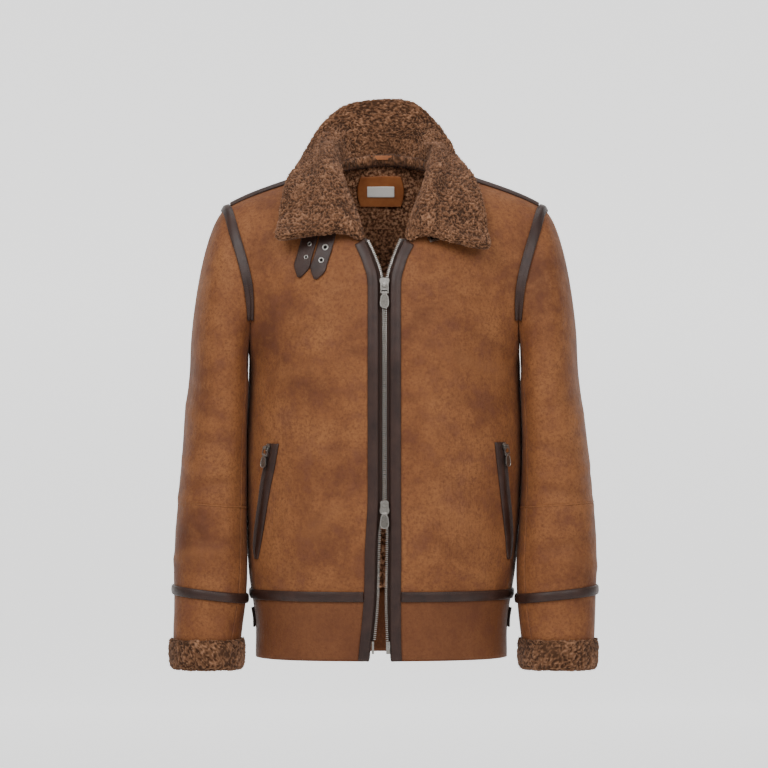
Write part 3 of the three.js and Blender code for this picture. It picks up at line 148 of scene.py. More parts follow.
# %% Node helpers
class Finish:
    """A material under construction, with short ways to add its nodes."""

    def __init__(self, name, roughness, **settings):
        self.material = bpy.data.materials.new(name)
        self.material.use_nodes = True
        self.nodes = self.material.node_tree.nodes
        self.links = self.material.node_tree.links
        self.shader = self.nodes["Principled BSDF"]
        self.shader.inputs["Roughness"].default_value = roughness
        for socket, value in settings.items():
            self.shader.inputs[socket.replace("_", " ")].default_value = value
        self.place = self.add("ShaderNodeTexCoord").outputs["Object"]

    def add(self, kind, **inputs):
        node = self.nodes.new(kind)
        for socket, value in inputs.items():
            node.inputs[socket.replace("_", " ")].default_value = value
        return node

    def join(self, out, into):
        self.links.new(out, into)

    def noise(self, scale, detail=4, roughness=0.6, stretch=None, turn=0.0):
        node = self.add("ShaderNodeTexNoise", Scale=scale, Detail=detail, Roughness=roughness)
        if stretch:
            mapping = self.add("ShaderNodeMapping", Scale=stretch, Rotation=(0, math.radians(turn), 0))
            self.join(self.place, mapping.inputs["Vector"])
            self.join(mapping.outputs["Vector"], node.inputs["Vector"])
        else:
            self.join(self.place, node.inputs["Vector"])
        return node.outputs["Fac"]

    def ramp(self, value, stops):
        node = self.add("ShaderNodeValToRGB")
        ramp = node.color_ramp
        while len(ramp.elements) < len(stops):
            ramp.elements.new(0.5)
        for element, (at, colour) in zip(ramp.elements, stops):
            element.position = at
            element.color = (*colour, 1) if len(colour) == 3 else colour
        self.join(value, node.inputs["Fac"])
        return node.outputs["Color"]

    def grey(self, value, low, high, from_low=0.0, from_high=1.0):
        node = self.add("ShaderNodeMapRange", From_Min=from_low, From_Max=from_high, To_Min=low, To_Max=high)
        self.join(value, node.inputs["Value"])
        return node.outputs["Result"]

    def mix(self, share, one, two, how="MIX"):
        node = self.nodes.new("ShaderNodeMix")
        node.data_type = "RGBA"
        node.blend_type = how
        for value, socket in ((share, node.inputs["Factor"]), (one, node.inputs["A"]), (two, node.inputs["B"])):
            if isinstance(value, bpy.types.NodeSocket):
                self.join(value, socket)
            else:
                socket.default_value = value if isinstance(value, float) else (*value, 1)
        return node.outputs["Result"]

    def attribute(self, name):
        node = self.nodes.new("ShaderNodeAttribute")
        node.attribute_name = name
        return node.outputs["Fac"]

    def colour(self, out):
        self.join(out, self.shader.inputs["Base Color"])

    def bump(self, *layers):
        """layers of (height, depth in metres), from the coarse one to the fine one."""
        normal = None
        for height, depth in layers:
            node = self.add("ShaderNodeBump", Strength=1.0, Distance=depth)
            self.join(height, node.inputs["Height"])
            if normal:
                self.join(normal, node.inputs["Normal"])
            normal = node.outputs["Normal"]
        self.join(normal, self.shader.inputs["Normal"])


print("node helpers ready")

# %% [markdown]
# ## Nubuck
# The outside of the skins is nubuck: leather whose face has been sanded to a short nap. It is a
# warm tan, blotched where the nap lies another way, with a fine pebbled grain. The ridges of folds
# are painted a little lighter, partly rubbed nap and partly painted highlight, and the troughs
# darker with painted shade. Three sizes of noise give the blotches. The cloth tells the material
# where its ridges are, where it is finely crinkled, and where it is bound in dark leather, through
# attributes called fold, crinkle and bound.

# %% Nubuck material
TAN = (0.205, 0.074, 0.026)
TAN_LIGHT = (0.290, 0.116, 0.042)
TAN_DARK = (0.112, 0.037, 0.015)
TAN_PLUM = (0.132, 0.047, 0.029)
BOUND = (0.036, 0.017, 0.012)


def nubuck(name, painted_shade=0.0):
    """The last argument: how much darker the whole nap is painted, as painted shade."""
    f = Finish(name, 0.7, Specular_IOR_Level=0.2, Sheen_Weight=0.05, Sheen_Roughness=0.4)
    broad = f.noise(9, 5, 0.6)
    blotch = f.noise(34, 9, 0.7)
    nap = f.noise(240, 6, 0.8)
    base = f.ramp(broad, [(0.30, TAN_DARK), (0.46, TAN), (0.68, TAN_LIGHT)])
    plum = f.ramp(blotch, [(0.50, (0, 0, 0)), (0.66, (1, 1, 1))])
    base = f.mix(f.grey(plum, 0.0, 0.55), base, TAN_PLUM)
    base = f.mix(f.grey(blotch, 0.5, 0.0, 0.34, 0.52), base, TAN_LIGHT)
    base = f.mix(f.grey(nap, 0.0, 0.75, 0.46, 0.64), base, TAN_DARK)
    # painted highlight on the ridges of folds, partly rubbed nap, and painted shade in their troughs
    ridge = f.grey(f.attribute("fold"), 0.0, 0.34, 0.0, 1.0)
    base = f.mix(ridge, base, TAN_LIGHT)
    trough = f.grey(f.attribute("fold"), 0.0, 0.34, 0.0, -1.0)
    base = f.mix(trough, base, TAN_DARK)
    # painted shade: the whole nap mixed towards the dark tan
    base = f.mix(painted_shade, base, TAN_DARK)
    f.colour(f.mix(f.attribute("bound"), base, BOUND))
    f.join(f.grey(blotch, 0.54, 0.78), f.shader.inputs["Roughness"])
    wrinkle = f.noise(70, 5, 0.6, (1.0, 1.0, 0.45))
    crinkle = f.nodes.new("ShaderNodeMath")
    crinkle.operation = "MULTIPLY"
    f.join(f.noise(330, 3, 0.5, (1.0, 1.0, 0.2), 40), crinkle.inputs[0])
    f.join(f.attribute("crinkle"), crinkle.inputs[1])
    fine = (f.noise(210, 4, 0.6), 0.00055)
    pebble = (f.noise(560, 3, 0.5), 0.0003)
    f.bump((wrinkle, 0.0011), (crinkle.outputs["Value"], 0.0018), fine, pebble)
    return f.material


NUBUCK = nubuck("nubuck")
# a copy for the waistband, its nap darkened as painted shade towards the hem
SHADED_NUBUCK = nubuck("nubuck_painted_shade", 0.62)
print("nubuck from", len(NUBUCK.node_tree.nodes), "nodes")

# %% [markdown]
# ## Trim leather, tan leather and thread
# The strips that cover the seams, the straps and the pocket welts are smooth dark leather with a
# soft shine and a much finer grain. The patch in the neck and the hanger loop are an orange-brown
# leather. All of it is sewn with dark brown thread.


# %% Leather and thread materials
def smooth_leather(name, dark, light, roughness):
    f = Finish(name, roughness, Specular_IOR_Level=0.4)
    cloud = f.noise(40, 6, 0.6)
    f.colour(f.ramp(cloud, [(0.32, dark), (0.70, light)]))
    f.join(f.grey(f.noise(90, 5), roughness - 0.09, roughness + 0.12), f.shader.inputs["Roughness"])
    f.bump((f.noise(260, 4, 0.6), 0.00032), (f.noise(1100, 2), 0.00012))
    return f.material


def sewing_thread():
    f = Finish("thread", 0.6, Specular_IOR_Level=0.3)
    f.colour(f.ramp(f.noise(600, 2), [(0.35, (0.040, 0.020, 0.012)), (0.65, (0.095, 0.052, 0.032))]))
    f.bump((f.noise(2600, 2), 0.0001))
    return f.material


TRIM = smooth_leather("dark_trim_leather", (0.021, 0.0085, 0.0060), (0.046, 0.020, 0.0140), 0.44)
TAN_LEATHER = smooth_leather("orange_brown_leather", (0.270, 0.082, 0.024), (0.430, 0.150, 0.048), 0.5)
THREAD = sewing_thread()
print("three leathers and thread")

# %% [markdown]
# ## Fleece
# The collar, the turned-back cuffs and the lining are the wool side of the skin, clipped to an
# even length and tightly curled. Light catches the tips of the curls and the roots stay dark. The
# mesh carries an attribute called curl, from 0 at the roots to 1 at the tips, and the material
# turns it into colour, so the wool is dark between its curls from every side.


# %% Fleece material
def fleece(name, root, middle, tip, clumps=0):
    """clumps: curls to the metre, for wool that is too short for its mesh to carry them."""
    f = Finish(name, 0.95, Specular_IOR_Level=0.06, Sheen_Weight=0.08, Sheen_Roughness=0.6)
    curl = f.grey(f.noise(clumps, 3, 0.6), 0.0, 1.0, 0.34, 0.66) if clumps else f.attribute("curl")
    # painted shade at the roots of the curls and a painted highlight on their tips
    wool = f.ramp(curl, [(0.22, root), (0.56, middle), (0.90, tip)])
    patchy = f.grey(f.noise(24, 5, 0.6), 0.0, 0.3, 0.42, 0.72)
    wool = f.mix(patchy, wool, middle)
    strand = f.grey(f.noise(420, 4, 0.7), 0.0, 0.5, 0.45, 0.75)
    wool = f.mix(strand, wool, root)
    f.colour(wool)
    f.bump((f.noise(230, 5, 0.7), 0.0022 if clumps else 0.0016), (f.noise(900, 3, 0.6), 0.0006))
    return f.material


COLLAR_WOOL = fleece("collar_fleece", (0.048, 0.021, 0.010), (0.190, 0.086, 0.043), (0.420, 0.215, 0.118))
CUFF_WOOL = fleece("cuff_fleece", (0.052, 0.023, 0.011), (0.195, 0.090, 0.045), (0.410, 0.212, 0.116))
LINING_SHADES = [(0.075, 0.029, 0.012), (0.340, 0.158, 0.082), (0.640, 0.350, 0.205)]
LINING_WOOL = fleece("lining_fleece", *LINING_SHADES, clumps=260)
LOCK_WOOL = fleece("lining_locks", *LINING_SHADES)
print("fleece for collar, cuffs and lining")

# %% [markdown]
# ## Metal, zip tape and label
# The zips, sliders, pulls, eyelets and buckles are plated in an aged silver, bright and dull in
# random patches, and duller on the sunken faces of the pulls. The zip tape is a dark woven cotton.
# The label in the neck is a plain pale weave, left blank here.


# %% Metal, tape and label materials
def aged_silver(name, dull, bright):
    f = Finish(name, 0.3, Metallic=1.0)
    tarnish = f.noise(900, 5, 0.7)
    f.colour(f.ramp(tarnish, [(0.30, dull), (0.62, bright)]))
    f.join(f.grey(tarnish, 0.46, 0.24), f.shader.inputs["Roughness"])
    f.bump((f.noise(1500, 2), 0.00008))
    return f.material


def woven(name, dark, light, scale, depth):
    f = Finish(name, 0.88, Specular_IOR_Level=0.2, Sheen_Weight=0.15)
    ribs = []
    for direction in ("X", "Z"):
        wave = f.add("ShaderNodeTexWave", Scale=scale, Distortion=0.6, Detail=1.0)
        wave.bands_direction = direction
        f.join(f.place, wave.inputs["Vector"])
        ribs.append(wave.outputs["Fac"])
    both = f.nodes.new("ShaderNodeMath")
    both.operation = "MULTIPLY"
    f.join(ribs[0], both.inputs[0])
    f.join(ribs[1], both.inputs[1])
    f.colour(f.ramp(both.outputs["Value"], [(0.1, dark), (0.7, light)]))
    f.bump((both.outputs["Value"], depth))
    return f.material


SILVER = aged_silver("aged_silver", (0.170, 0.152, 0.130), (0.560, 0.535, 0.500))
TARNISHED = aged_silver("tarnished_silver", (0.115, 0.104, 0.090), (0.330, 0.312, 0.285))
TAPE = woven("zip_tape_cotton", (0.026, 0.0125, 0.009), (0.066, 0.034, 0.026), 480, 0.0002)
# a dark disc of painted shadow, laid in each eyelet's hole
HOLE_SHADOW = woven("shadow_in_a_hole", (0.004, 0.002, 0.001), (0.010, 0.006, 0.004), 480, 0.0001)
LABEL = woven("label_weave", (0.84, 0.81, 0.75), (0.94, 0.93, 0.90), 420, 0.00012)
print("silver, tape and label")

# %% [markdown]
# ## From a solid panel to cloth
# Each solid is faceted. To make it a smooth piece, its triangles are paired into four-sided faces,
# the edges where the wall is cut are marked as firm, and a subdivision surface rounds the rest.
# The firm edges also divide a panel into its outer face, its wool face and the cut edge between
# them, which is how each gets its own material.

# %% Solid to quads
FIRM_ANGLE = math.radians(47)


def quads_of(node):
    """The node's solid as a bmesh of mostly four-sided faces."""
    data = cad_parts[node].data
    bm = bmesh.new()
    verts = [bm.verts.new(v.co) for v in data.vertices]
    for face in data.polygons:
        bm.faces.new([verts[i] for i in face.vertices])
    bmesh.ops.remove_doubles(bm, verts=bm.verts, dist=2e-5)
    bmesh.ops.recalc_face_normals(bm, faces=bm.faces)
    bmesh.ops.join_triangles(
        bm, faces=bm.faces, angle_face_threshold=math.radians(30), angle_shape_threshold=math.radians(70)
    )
    return bm


def regions(bm):
    """Groups of faces that meet without a firm edge, the largest first."""
    found, groups = set(), []
    for start in bm.faces:
        if start in found:
            continue
        group, todo = [], [start]
        found.add(start)
        while todo:
            face = todo.pop()
            group.append(face)
            for edge in face.edges:
                for other in edge.link_faces:
                    if other not in found and edge.calc_face_angle(0) < FIRM_ANGLE:
                        found.add(other)
                        todo.append(other)
        groups.append(group)
    return sorted(groups, key=lambda group: -sum(face.calc_area() for face in group))


def facing(group, way):
    """How far a region's faces look along way(middle of the face), from -1 to 1."""
    total = sum(face.calc_area() for face in group)
    return sum(face.normal.dot(way(face.calc_center_median())) * face.calc_area() for face in group) / total


print("the front has", len(regions(quads_of("front_left"))), "regions")

# %% [markdown]
# ## Folds
# Sheepskin is stiff, so a jacket has few folds, broad and soft: drag lines from the armholes, a
# little slack above the waistband, and creases across the elbows. Each is listed as a ridge or a
# trough along a line, with its half width and height in millimetres. A gentle unevenness lies
# under them. Pieces that lie on the cloth read the same folds, so they follow it.

# %% Folds of the body
# x1, z1, x2, z2, half width, height, face (-1 front, 1 back), all in mm
BODY_FOLDS = [
    (172, -262, 96, -214, 9, -2.2, -1),
    (176, -292, 88, -262, 11, 2.0, -1),
    (178, -330, 80, -318, 12, -1.9, -1),
    (-172, -258, -92, -216, 9, -2.0, -1),
    (-178, -300, -84, -276, 11, 1.9, -1),
    (52, -408, 128, -462, 11, -1.8, -1),
    (56, -452, 150, -520, 10, 2.1, -1),
    (60, -505, 132, -560, 9, -1.9, -1),
    (96, -548, 168, -578, 8, 1.7, -1),
    (-56, -470, -128, -525, 12, 1.8, -1),
    (-64, -528, -150, -570, 9, -1.8, -1),
    (58, -300, 70, -420, 12, 1.4, -1),
    (-60, -330, -68, -450, 12, -1.3, -1),
    (110, -140, 176, -235, 12, 2.2, 1),
    (-110, -140, -176, -238, 12, 2.2, 1),
    (60, -180, 168, -300, 14, -2.4, 1),
    (-64, -190, -168, -306, 14, -2.3, 1),
    (-30, -250, 60, -275, 18, 1.8, 1),
    (30, -520, 140, -560, 12, 2.4, 1),
    (-40, -510, -150, -556, 12, -2.2, 1),
    (-96, -470, 20, -500, 16, 2.2, 1),
]
BODY_HALF = (0.19, 0.14)


def steps(low, high, value):
    t = np.clip((value - low) / (high - low), 0, 1)
    return t * t * (3 - 2 * t)


def uneven(points, size, seed):
    """Smooth noise from -1 to 1 at each point, its lumps about size metres across."""
    shift = Vector((seed * 7.3, seed * 3.1, seed * 5.7))
    return np.array([noise.noise(Vector(p) / size + shift) for p in points])


def body_fold(points):
    """Height of the folds and the way they push, for points of the body."""
    x, y, z = (points / MM).T
    height = np.zeros(len(points))
    for x1, z1, x2, z2, half, tall, face in BODY_FOLDS:
        dx, dz = x2 - x1, z2 - z1
        t = np.clip(((x - x1) * dx + (z - z1) * dz) / (dx * dx + dz * dz), 0, 1)
        away = np.hypot(x - x1 - t * dx, z - z1 - t * dz) / half
        side = steps(15, 55, y * face)
        height += tall * np.exp(-away * away) * np.sin(np.pi * (0.12 + 0.76 * t)) * side
    height += 0.9 * uneven(points, 0.075, 1) + 0.45 * uneven(points, 0.028, 2)
    near_zip = steps(24, 52, np.abs(x)) * (y < 0) + (y >= 0)
    near_pocket = 1 - np.exp(-(((np.abs(x) - 167) / 22) ** 2) - ((z + 396) / 26) ** 2)
    height *= near_zip * near_pocket * steps(-90, -150, z)
    way = np.stack([x / BODY_HALF[0] ** 2, y / BODY_HALF[1] ** 2, np.zeros(len(x))], 1)
    return height, way / np.linalg.norm(way, axis=1)[:, None]


print(len(BODY_FOLDS), "folds on the body")

# %% Folds of the sleeves
# z, middle of the fold round the sleeve, half turn, half height, height, slant.
# Round the sleeve 0 faces outwards, -90 to the front and 90 to the back, in degrees.
SLEEVE_FOLDS = [
    (-322, -70, 46, 8, -1.9, 0.34),
    (-352, -40, 58, 9, 1.9, 0.26),
    (-392, -76, 50, 8, -1.7, -0.22),
    (-424, -52, 60, 8, 2.2, 0.18),
    (-448, -88, 44, 7, -2.4, -0.16),
    (-472, -34, 52, 8, 2.0, 0.12),
    (-522, -70, 56, 8, -2.3, 0.20),
    (-548, -44, 60, 8, 2.2, -0.16),
    (-572, -84, 40, 6, -1.6, 0.10),
    (-430, 70, 60, 10, 2.4, 0.20),
    (-462, 96, 60, 9, -2.6, -0.20),
    (-500, 74, 60, 10, 2.2, 0.15),
    (-360, 84, 50, 12, -2.0, 0.30),
]
# z, middle x, middle y of the sleeve
SLEEVE_LINE = [
    (-700, 244, -32),
    (-620, 240, -31),
    (-560, 239, -29),
    (-480, 239, -22),
    (-400, 238, -15),
    (-300, 231, -10),
    (-180, 214, -4),
    (-60, 196, 0),
]


def sleeve_fold(points, side):
    """The same for points of a sleeve."""
    x, y, z = (points / MM).T
    levels, middle_x, middle_y = np.array(SLEEVE_LINE, float).T
    out_x = x * side - np.interp(z, levels, middle_x)
    out_y = y - np.interp(z, levels, middle_y)
    turn = np.degrees(np.arctan2(out_y, out_x))
    height = np.zeros(len(points))
    for at, middle, half_turn, half_height, tall, slant in SLEEVE_FOLDS:
        shifted = at + (9 if side < 0 else 0)
        round_it = (turn - middle + 180) % 360 - 180
        up = z - shifted - slant * round_it
        height += tall * np.exp(-((round_it / half_turn) ** 2) - (up / half_height) ** 2)
    height += 0.9 * uneven(points, 0.070, 3) + 0.45 * uneven(points, 0.028, 4)
    clear_of_body = steps(150, 118, np.abs(turn))
    height *= clear_of_body * steps(-215, -275, z) * steps(-640, -618, z)
    way = np.stack([out_x * side, out_y, np.zeros(len(x))], 1)
    return height, way / np.linalg.norm(way, axis=1)[:, None]


print(len(SLEEVE_FOLDS), "folds on each sleeve")

# %% [markdown]
# ## Making the cloth pieces
# A helper takes a node through all the steps: quads, firm edges, subdivision, folds, materials.
# Last, the helper hides the solid that the piece replaces.


# %% Cloth helper
def outward(node):
    """The way out of the jacket or the sleeve, for telling the outer face of a panel."""
    if node == "collar":
        return lambda p: Vector((0, 0.6, -0.8))
    if node.startswith(("sleeve", "cuff")):
        side = SIDES[node.rsplit("_", 1)[1]]
        heart = lambda p: Vector((side * (0.238 if p.z < -0.3 else 0.205), -0.015, min(p.z, -0.2)))
    else:
        heart = lambda p: Vector((0, 0, min(p.z, -0.15)))
    return lambda p: (p - heart(p)).normalized()


def fold_of(node):
    if node.startswith("sleeve"):
        side = SIDES[node.rsplit("_", 1)[1]]
        return lambda points: sleeve_fold(points, side)
    if node.startswith(("front", "back", "waist", "zip_strip", "pocket_welt", "pocket_zip", "side_tab")):
        return body_fold
    return None


def write_points(mesh, points):
    mesh.vertices.foreach_set("co", points.astype(np.float32).ravel())
    mesh.update()


def read_points(mesh):
    points = np.zeros(len(mesh.vertices) * 3, np.float32)
    mesh.vertices.foreach_get("co", points)
    return points.reshape(-1, 3).astype(float)


def read_normals(mesh):
    normals = np.zeros(len(mesh.vertices) * 3, np.float32)
    mesh.vertex_normals.foreach_get("vector", normals)
    return normals.reshape(-1, 3).astype(float)


def keep_value(mesh, name, values):
    layer = mesh.attributes.get(name) or mesh.attributes.new(name, "FLOAT", "POINT")
    layer.data.foreach_set("value", values.astype(np.float32))


def shown(name, mesh, body=JACKET):
    piece = bpy.data.objects.new(name, mesh)
    bpy.context.scene.collection.objects.link(piece)
    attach(piece, body)
    return piece


def rounded(bm, name, levels, materials):
    """The bmesh after a subdivision surface, as a mesh whose first points are the bmesh's own."""
    rough = bpy.data.meshes.new(name)
    for material in materials:
        rough.materials.append(material)
    bm.to_mesh(rough)
    holder = bpy.data.objects.new(name + "_rough", rough)
    bpy.context.scene.collection.objects.link(holder)
    holder.modifiers.new("round", "SUBSURF").levels = levels
    mesh = bpy.data.meshes.new_from_object(holder.evaluated_get(bpy.context.evaluated_depsgraph_get()))
    bpy.data.objects.remove(holder)
    bpy.data.meshes.remove(rough)
    mesh.name = name
    return mesh


def subdivided(bm, name, levels, materials):
    """The same, after moving the corners until the rounded surface passes through the solid's."""
    aim = [vert.co.copy() for vert in bm.verts]
    for pull in (1.0, 0.8):
        mesh = rounded(bm, name, 2, materials)
        for vert, target, got in zip(bm.verts, aim, mesh.vertices):
            vert.co += (target - got.co) * pull
        bpy.data.meshes.remove(mesh)
    return rounded(bm, name, levels, materials)


def at_neck(place):
    """True along the neckline, where the collar's wool runs into the lining."""
    return abs(place.x) < 0.092 and place.z > -0.11


def neck_seam_height(x):
    """Height of the neck seam across the back of the neck."""
    return 0.016 - 0.009 * (x / 0.058) ** 2


ZIP_BINDING = 3 * MM


def binding(points):
    """1 where the edge of a front is bound by the leather of the zip, fading out under its strip."""
    share = np.zeros(len(points))
    for side, sign in SIDES.items():
        tape = read_points(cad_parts["zip_tape_" + side].data)
        levels = np.array(sorted(set(np.round(tape[:, 2], 5))))
        sewn = np.array([max(tape[np.abs(tape[:, 2] - z) < 2e-5, 0] * sign) for z in levels])
        beyond = points[:, 0] * sign - np.interp(points[:, 2], levels, sewn)
        near = (points[:, 0] * sign > 0) & (points[:, 1] < -0.06)
        share[near] = np.maximum(share, 1 - steps(ZIP_BINDING, 3 * ZIP_BINDING, beyond))[near]
    return share


CRINKLED = [(88, -512, 34, 52), (120, -420, 30, 46), (-150, -480, 20, 40)]


def crinkling(points):
    """How finely creased the leather is: patches by their middle x, z and half sizes, in mm."""
    x, y, z = (points / MM).T
    share = np.zeros(len(points))
    for at_x, at_z, half_x, half_z in CRINKLED:
        share += np.exp(-(((x - at_x) / half_x) ** 2) - ((z - at_z) / half_z) ** 2) * (y < 0)
    return np.clip(share, 0, 1)


def tailored(node, materials, levels, firm=0.9, thick=False):
    """Cloth piece of a node. materials: outer face, inner face, cut edge. thick: of deep wool."""
    bm = quads_of(node)
    crease = bm.edges.layers.float.new("crease_edge")
    for edge in bm.edges:
        if edge.calc_face_angle(0) > FIRM_ANGLE:
            edge[crease] = firm
    groups = regions(bm)
    way = outward(node)
    broad = sorted(groups[:2], key=lambda group: -facing(group, way))
    area = sum(face.calc_area() for face in (bm.faces if thick else broad[0])) / (2 if thick else 1)
    for group in groups:
        kind = 2 if group not in broad else broad.index(group)
        for face in group:
            middle = face.calc_center_median()
            neck_edge = kind == 2 and fold_of(node) is body_fold and at_neck(middle)
            face.material_index = 1 if neck_edge else kind
    mesh = subdivided(bm, node + "_skin", levels, materials)
    bm.free()
    mesh.shade_smooth()
    points = read_points(mesh)
    fold = fold_of(node)
    tall = np.zeros(len(points))
    if fold:
        tall, push = fold(points)
        points += push * tall[:, None] * MM
    write_points(mesh, points)
    # the fold height also paints the nubuck: ridges lighter, partly painted highlight, troughs darker with painted
    # shade
    keep_value(mesh, "fold", tall / 2.2)
    if node.startswith(("front", "waistband_front")):
        keep_value(mesh, "bound", binding(points))
        keep_value(mesh, "crinkle", crinkling(points))
    piece = shown(node + "_skin", mesh)
    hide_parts(node)
    return piece


# %% [markdown]
# ## Fronts, back, waistband and sleeves
# These are the big pieces of skin, nubuck outside and wool inside, with the leather turned over
# the cut edge. The waistband is leather on both faces. The fronts and the top halves of the
# sleeves are what one sees first, so they get the finest mesh.

# %% Body and sleeves
SKIN = [NUBUCK, LINING_WOOL, NUBUCK]
# the waistband takes the nubuck darkened with painted shade
BAND_SKIN = [SHADED_NUBUCK, SHADED_NUBUCK, SHADED_NUBUCK]
PANELS = {
    "front_left": (SKIN, 3, ["back"]),
    "front_right": (SKIN, 3, ["back"]),
    "back": (SKIN, 2, ["front_left", "front_right"]),
    "waistband_front_left": (BAND_SKIN, 2, ["front_left"]),
    "waistband_front_right": (BAND_SKIN, 2, ["front_right"]),
    "waistband_back": (BAND_SKIN, 2, ["back"]),
}
for side in SIDES:
    PANELS["sleeve_upper_top_" + side] = (SKIN, 3, ["front_" + side, "back"])
    PANELS["sleeve_upper_under_" + side] = (SKIN, 2, ["front_" + side])
    PANELS["sleeve_lower_top_" + side] = (SKIN, 3, ["sleeve_upper_top_" + side])
    PANELS["sleeve_lower_under_" + side] = (SKIN, 2, ["sleeve_upper_under_" + side])

cloth = {}
for node, (materials, levels, rests_on) in PANELS.items():
    cloth[node] = tailored(node, materials, levels)
print("panels:", len(cloth), "with", sum(len(p.data.polygons) for p in cloth.values()), "faces")

# %% [markdown]
# ## Strips, straps, welts and tabs
# Narrow strips of dark leather are folded and sewn over the seams. They are fullest in the middle.
# The straps at the throat, the pocket welts and the side tabs are the same leather, cut flat.

# %% Dark leather pieces
STRIPS = {
    "waist_strip": ["front_left", "back"],
    "throat_strap_inner": ["front_right"],
    "throat_strap_outer": ["front_right"],
    "buckle_chape_inner": ["front_left"],
    "buckle_chape_outer": ["front_left"],
}
for side in SIDES:
    STRIPS["zip_strip_" + side] = ["front_" + side]
    STRIPS["armhole_strip_" + side] = ["front_" + side, "back"]
    STRIPS["shoulder_strip_" + side] = ["front_" + side]
    STRIPS["sleeve_band_" + side] = ["sleeve_lower_top_" + side]
    STRIPS["pocket_welt_" + side] = ["front_" + side]
    STRIPS["side_tab_" + side] = ["waistband_back"]
for node, rests_on in STRIPS.items():
    cloth[node] = tailored(node, [TRIM] * 3, 2, 0.55)
print(len(STRIPS), "pieces of dark leather")

# %% Pocket zip tapes, neck patch, label and loop
for side in SIDES:
    node = "pocket_zip_" + side
    cloth[node] = tailored(node, [TAPE] * 3, 2, 0.8)
cloth["neck_patch"] = tailored("neck_patch", [TAN_LEATHER] * 3, 3, 0.7)
cloth["neck_label"] = tailored("neck_label", [LABEL] * 3, 3, 0.95)
cloth["hanger_loop"] = tailored("hanger_loop", [TAN_LEATHER] * 3, 3, 0.6)
print("tapes, patch, label and loop")

# %% [markdown]
# ## Stitches and turned seams
# Strips, welts, straps and the patch are held by a row of lock stitches 1.8 mm in from the edge,
# about three to the centimetre. The outline of each solid's outer face gives the rows. At the
# elbow one skin laps over the other, and its turned edge shows as a thin ridge.

# %% Outlines
STITCH_PITCH = 3.4 * MM
STITCH_HALF = 1.25 * MM
STITCH_THICK = 0.3 * MM
STITCH_INSET = 1.8 * MM


def outlines(node):
    """Borders of a node's outer face, as lists of (start, end, way in) for each straight piece."""
    bm = quads_of(node)
    way = outward(node)
    top = set(max(regions(bm)[:2], key=lambda group: facing(group, way)))
    following = {}
    for face in top:
        for loop in face.loops:
            if not any(other in top for other in loop.edge.link_faces if other is not face):
                following[loop.vert] = (loop.link_loop_next.vert, face)
    found = []
    while following:
        vert = first = next(iter(following))
        pieces = []
        while vert in following:
            after, face = following.pop(vert)
            along = (after.co - vert.co).normalized()
            pieces.append((vert.co.copy(), after.co.copy(), face.normal.cross(along)))
            vert = after
        if vert is first:
            found.append(pieces)
    bm.free()
    return found


def stitch_spots(node):
    """Middle and direction of every stitch of a node, leaving out those that come too near a border."""
    spots = []
    for pieces in outlines(node):
        starts = np.array([start for start, _, _ in pieces])
        ends = np.array([end for _, end, _ in pieces])
        reach = ends - starts
        wide = np.maximum((reach ** 2).sum(1), 1e-12)
        carried = STITCH_PITCH / 2
        for start, end, inwards in pieces:
            long = (end - start).length
            while carried < long:
                spot = start.lerp(end, carried / long) + inwards * STITCH_INSET
                t = np.clip(((np.array(spot) - starts) * reach).sum(1) / wide, 0, 1)
                near = np.linalg.norm(starts + reach * t[:, None] - np.array(spot), axis=1).min()
                if near > 0.8 * STITCH_INSET:
                    spots.append((spot, (end - start).normalized()))
                carried += STITCH_PITCH
            carried -= long
    return spots


print("waist strip:", len(stitch_spots("waist_strip")), "stitches")

# %% Sew
STITCH_RING = 4


def surface_of(piece):
    """Search tree over a finished piece."""
    mesh = piece.data
    return BVHTree.FromPolygons([v.co for v in mesh.vertices], [tuple(f.vertices) for f in mesh.polygons])


def bead(start, end, up, thick, first):
    """Points and faces of one stitch: a bead with pointed ends, sunk at both of them."""
    along = (end - start).normalized()
    across = along.cross(up).normalized()
    points = [start - up * thick, end - up * thick]
    for share in (0.25, 0.75):
        middle = start.lerp(end, share)
        for k in range(STITCH_RING):
            turn = 2 * math.pi * k / STITCH_RING
            points.append(middle + across * math.cos(turn) * thick + up * math.sin(turn) * thick)
    faces = []
    for k in range(STITCH_RING):
        a, b = 2 + k, 2 + (k + 1) % STITCH_RING
        faces += [(0, b, a), (a, b, b + STITCH_RING, a + STITCH_RING), (1, a + STITCH_RING, b + STITCH_RING)]
    return points, [tuple(first + i for i in face) for face in faces]


def sew(name, nodes, material):
    """All the stitches of some nodes, laid on their finished pieces, as one mesh."""
    points, faces = [], []
    for node in nodes:
        tree = surface_of(cloth[node])
        for spot, along in stitch_spots(node):
            at, up, _, _ = tree.find_nearest(spot)
            half = (along - up * along.dot(up)).normalized() * STITCH_HALF
            more, sides = bead(at - half, at + half, up, STITCH_THICK, len(points))
            points += more
            faces += sides
    mesh = bpy.data.meshes.new(name)
    mesh.from_pydata(points, [], faces)
    mesh.materials.append(material)
    mesh.shade_smooth()
    print(f"{name}: {len(points) // (2 + 2 * STITCH_RING)} stitches")
    return shown(name, mesh)


sew("stitches_strips", [n for n in STRIPS if not n.startswith("buckle_chape")], THREAD)
sew("stitches_patch", ["neck_patch"], THREAD)

# %% Turned seams
SEAM_HALF = 1.1 * MM
SEAM_RING = 6


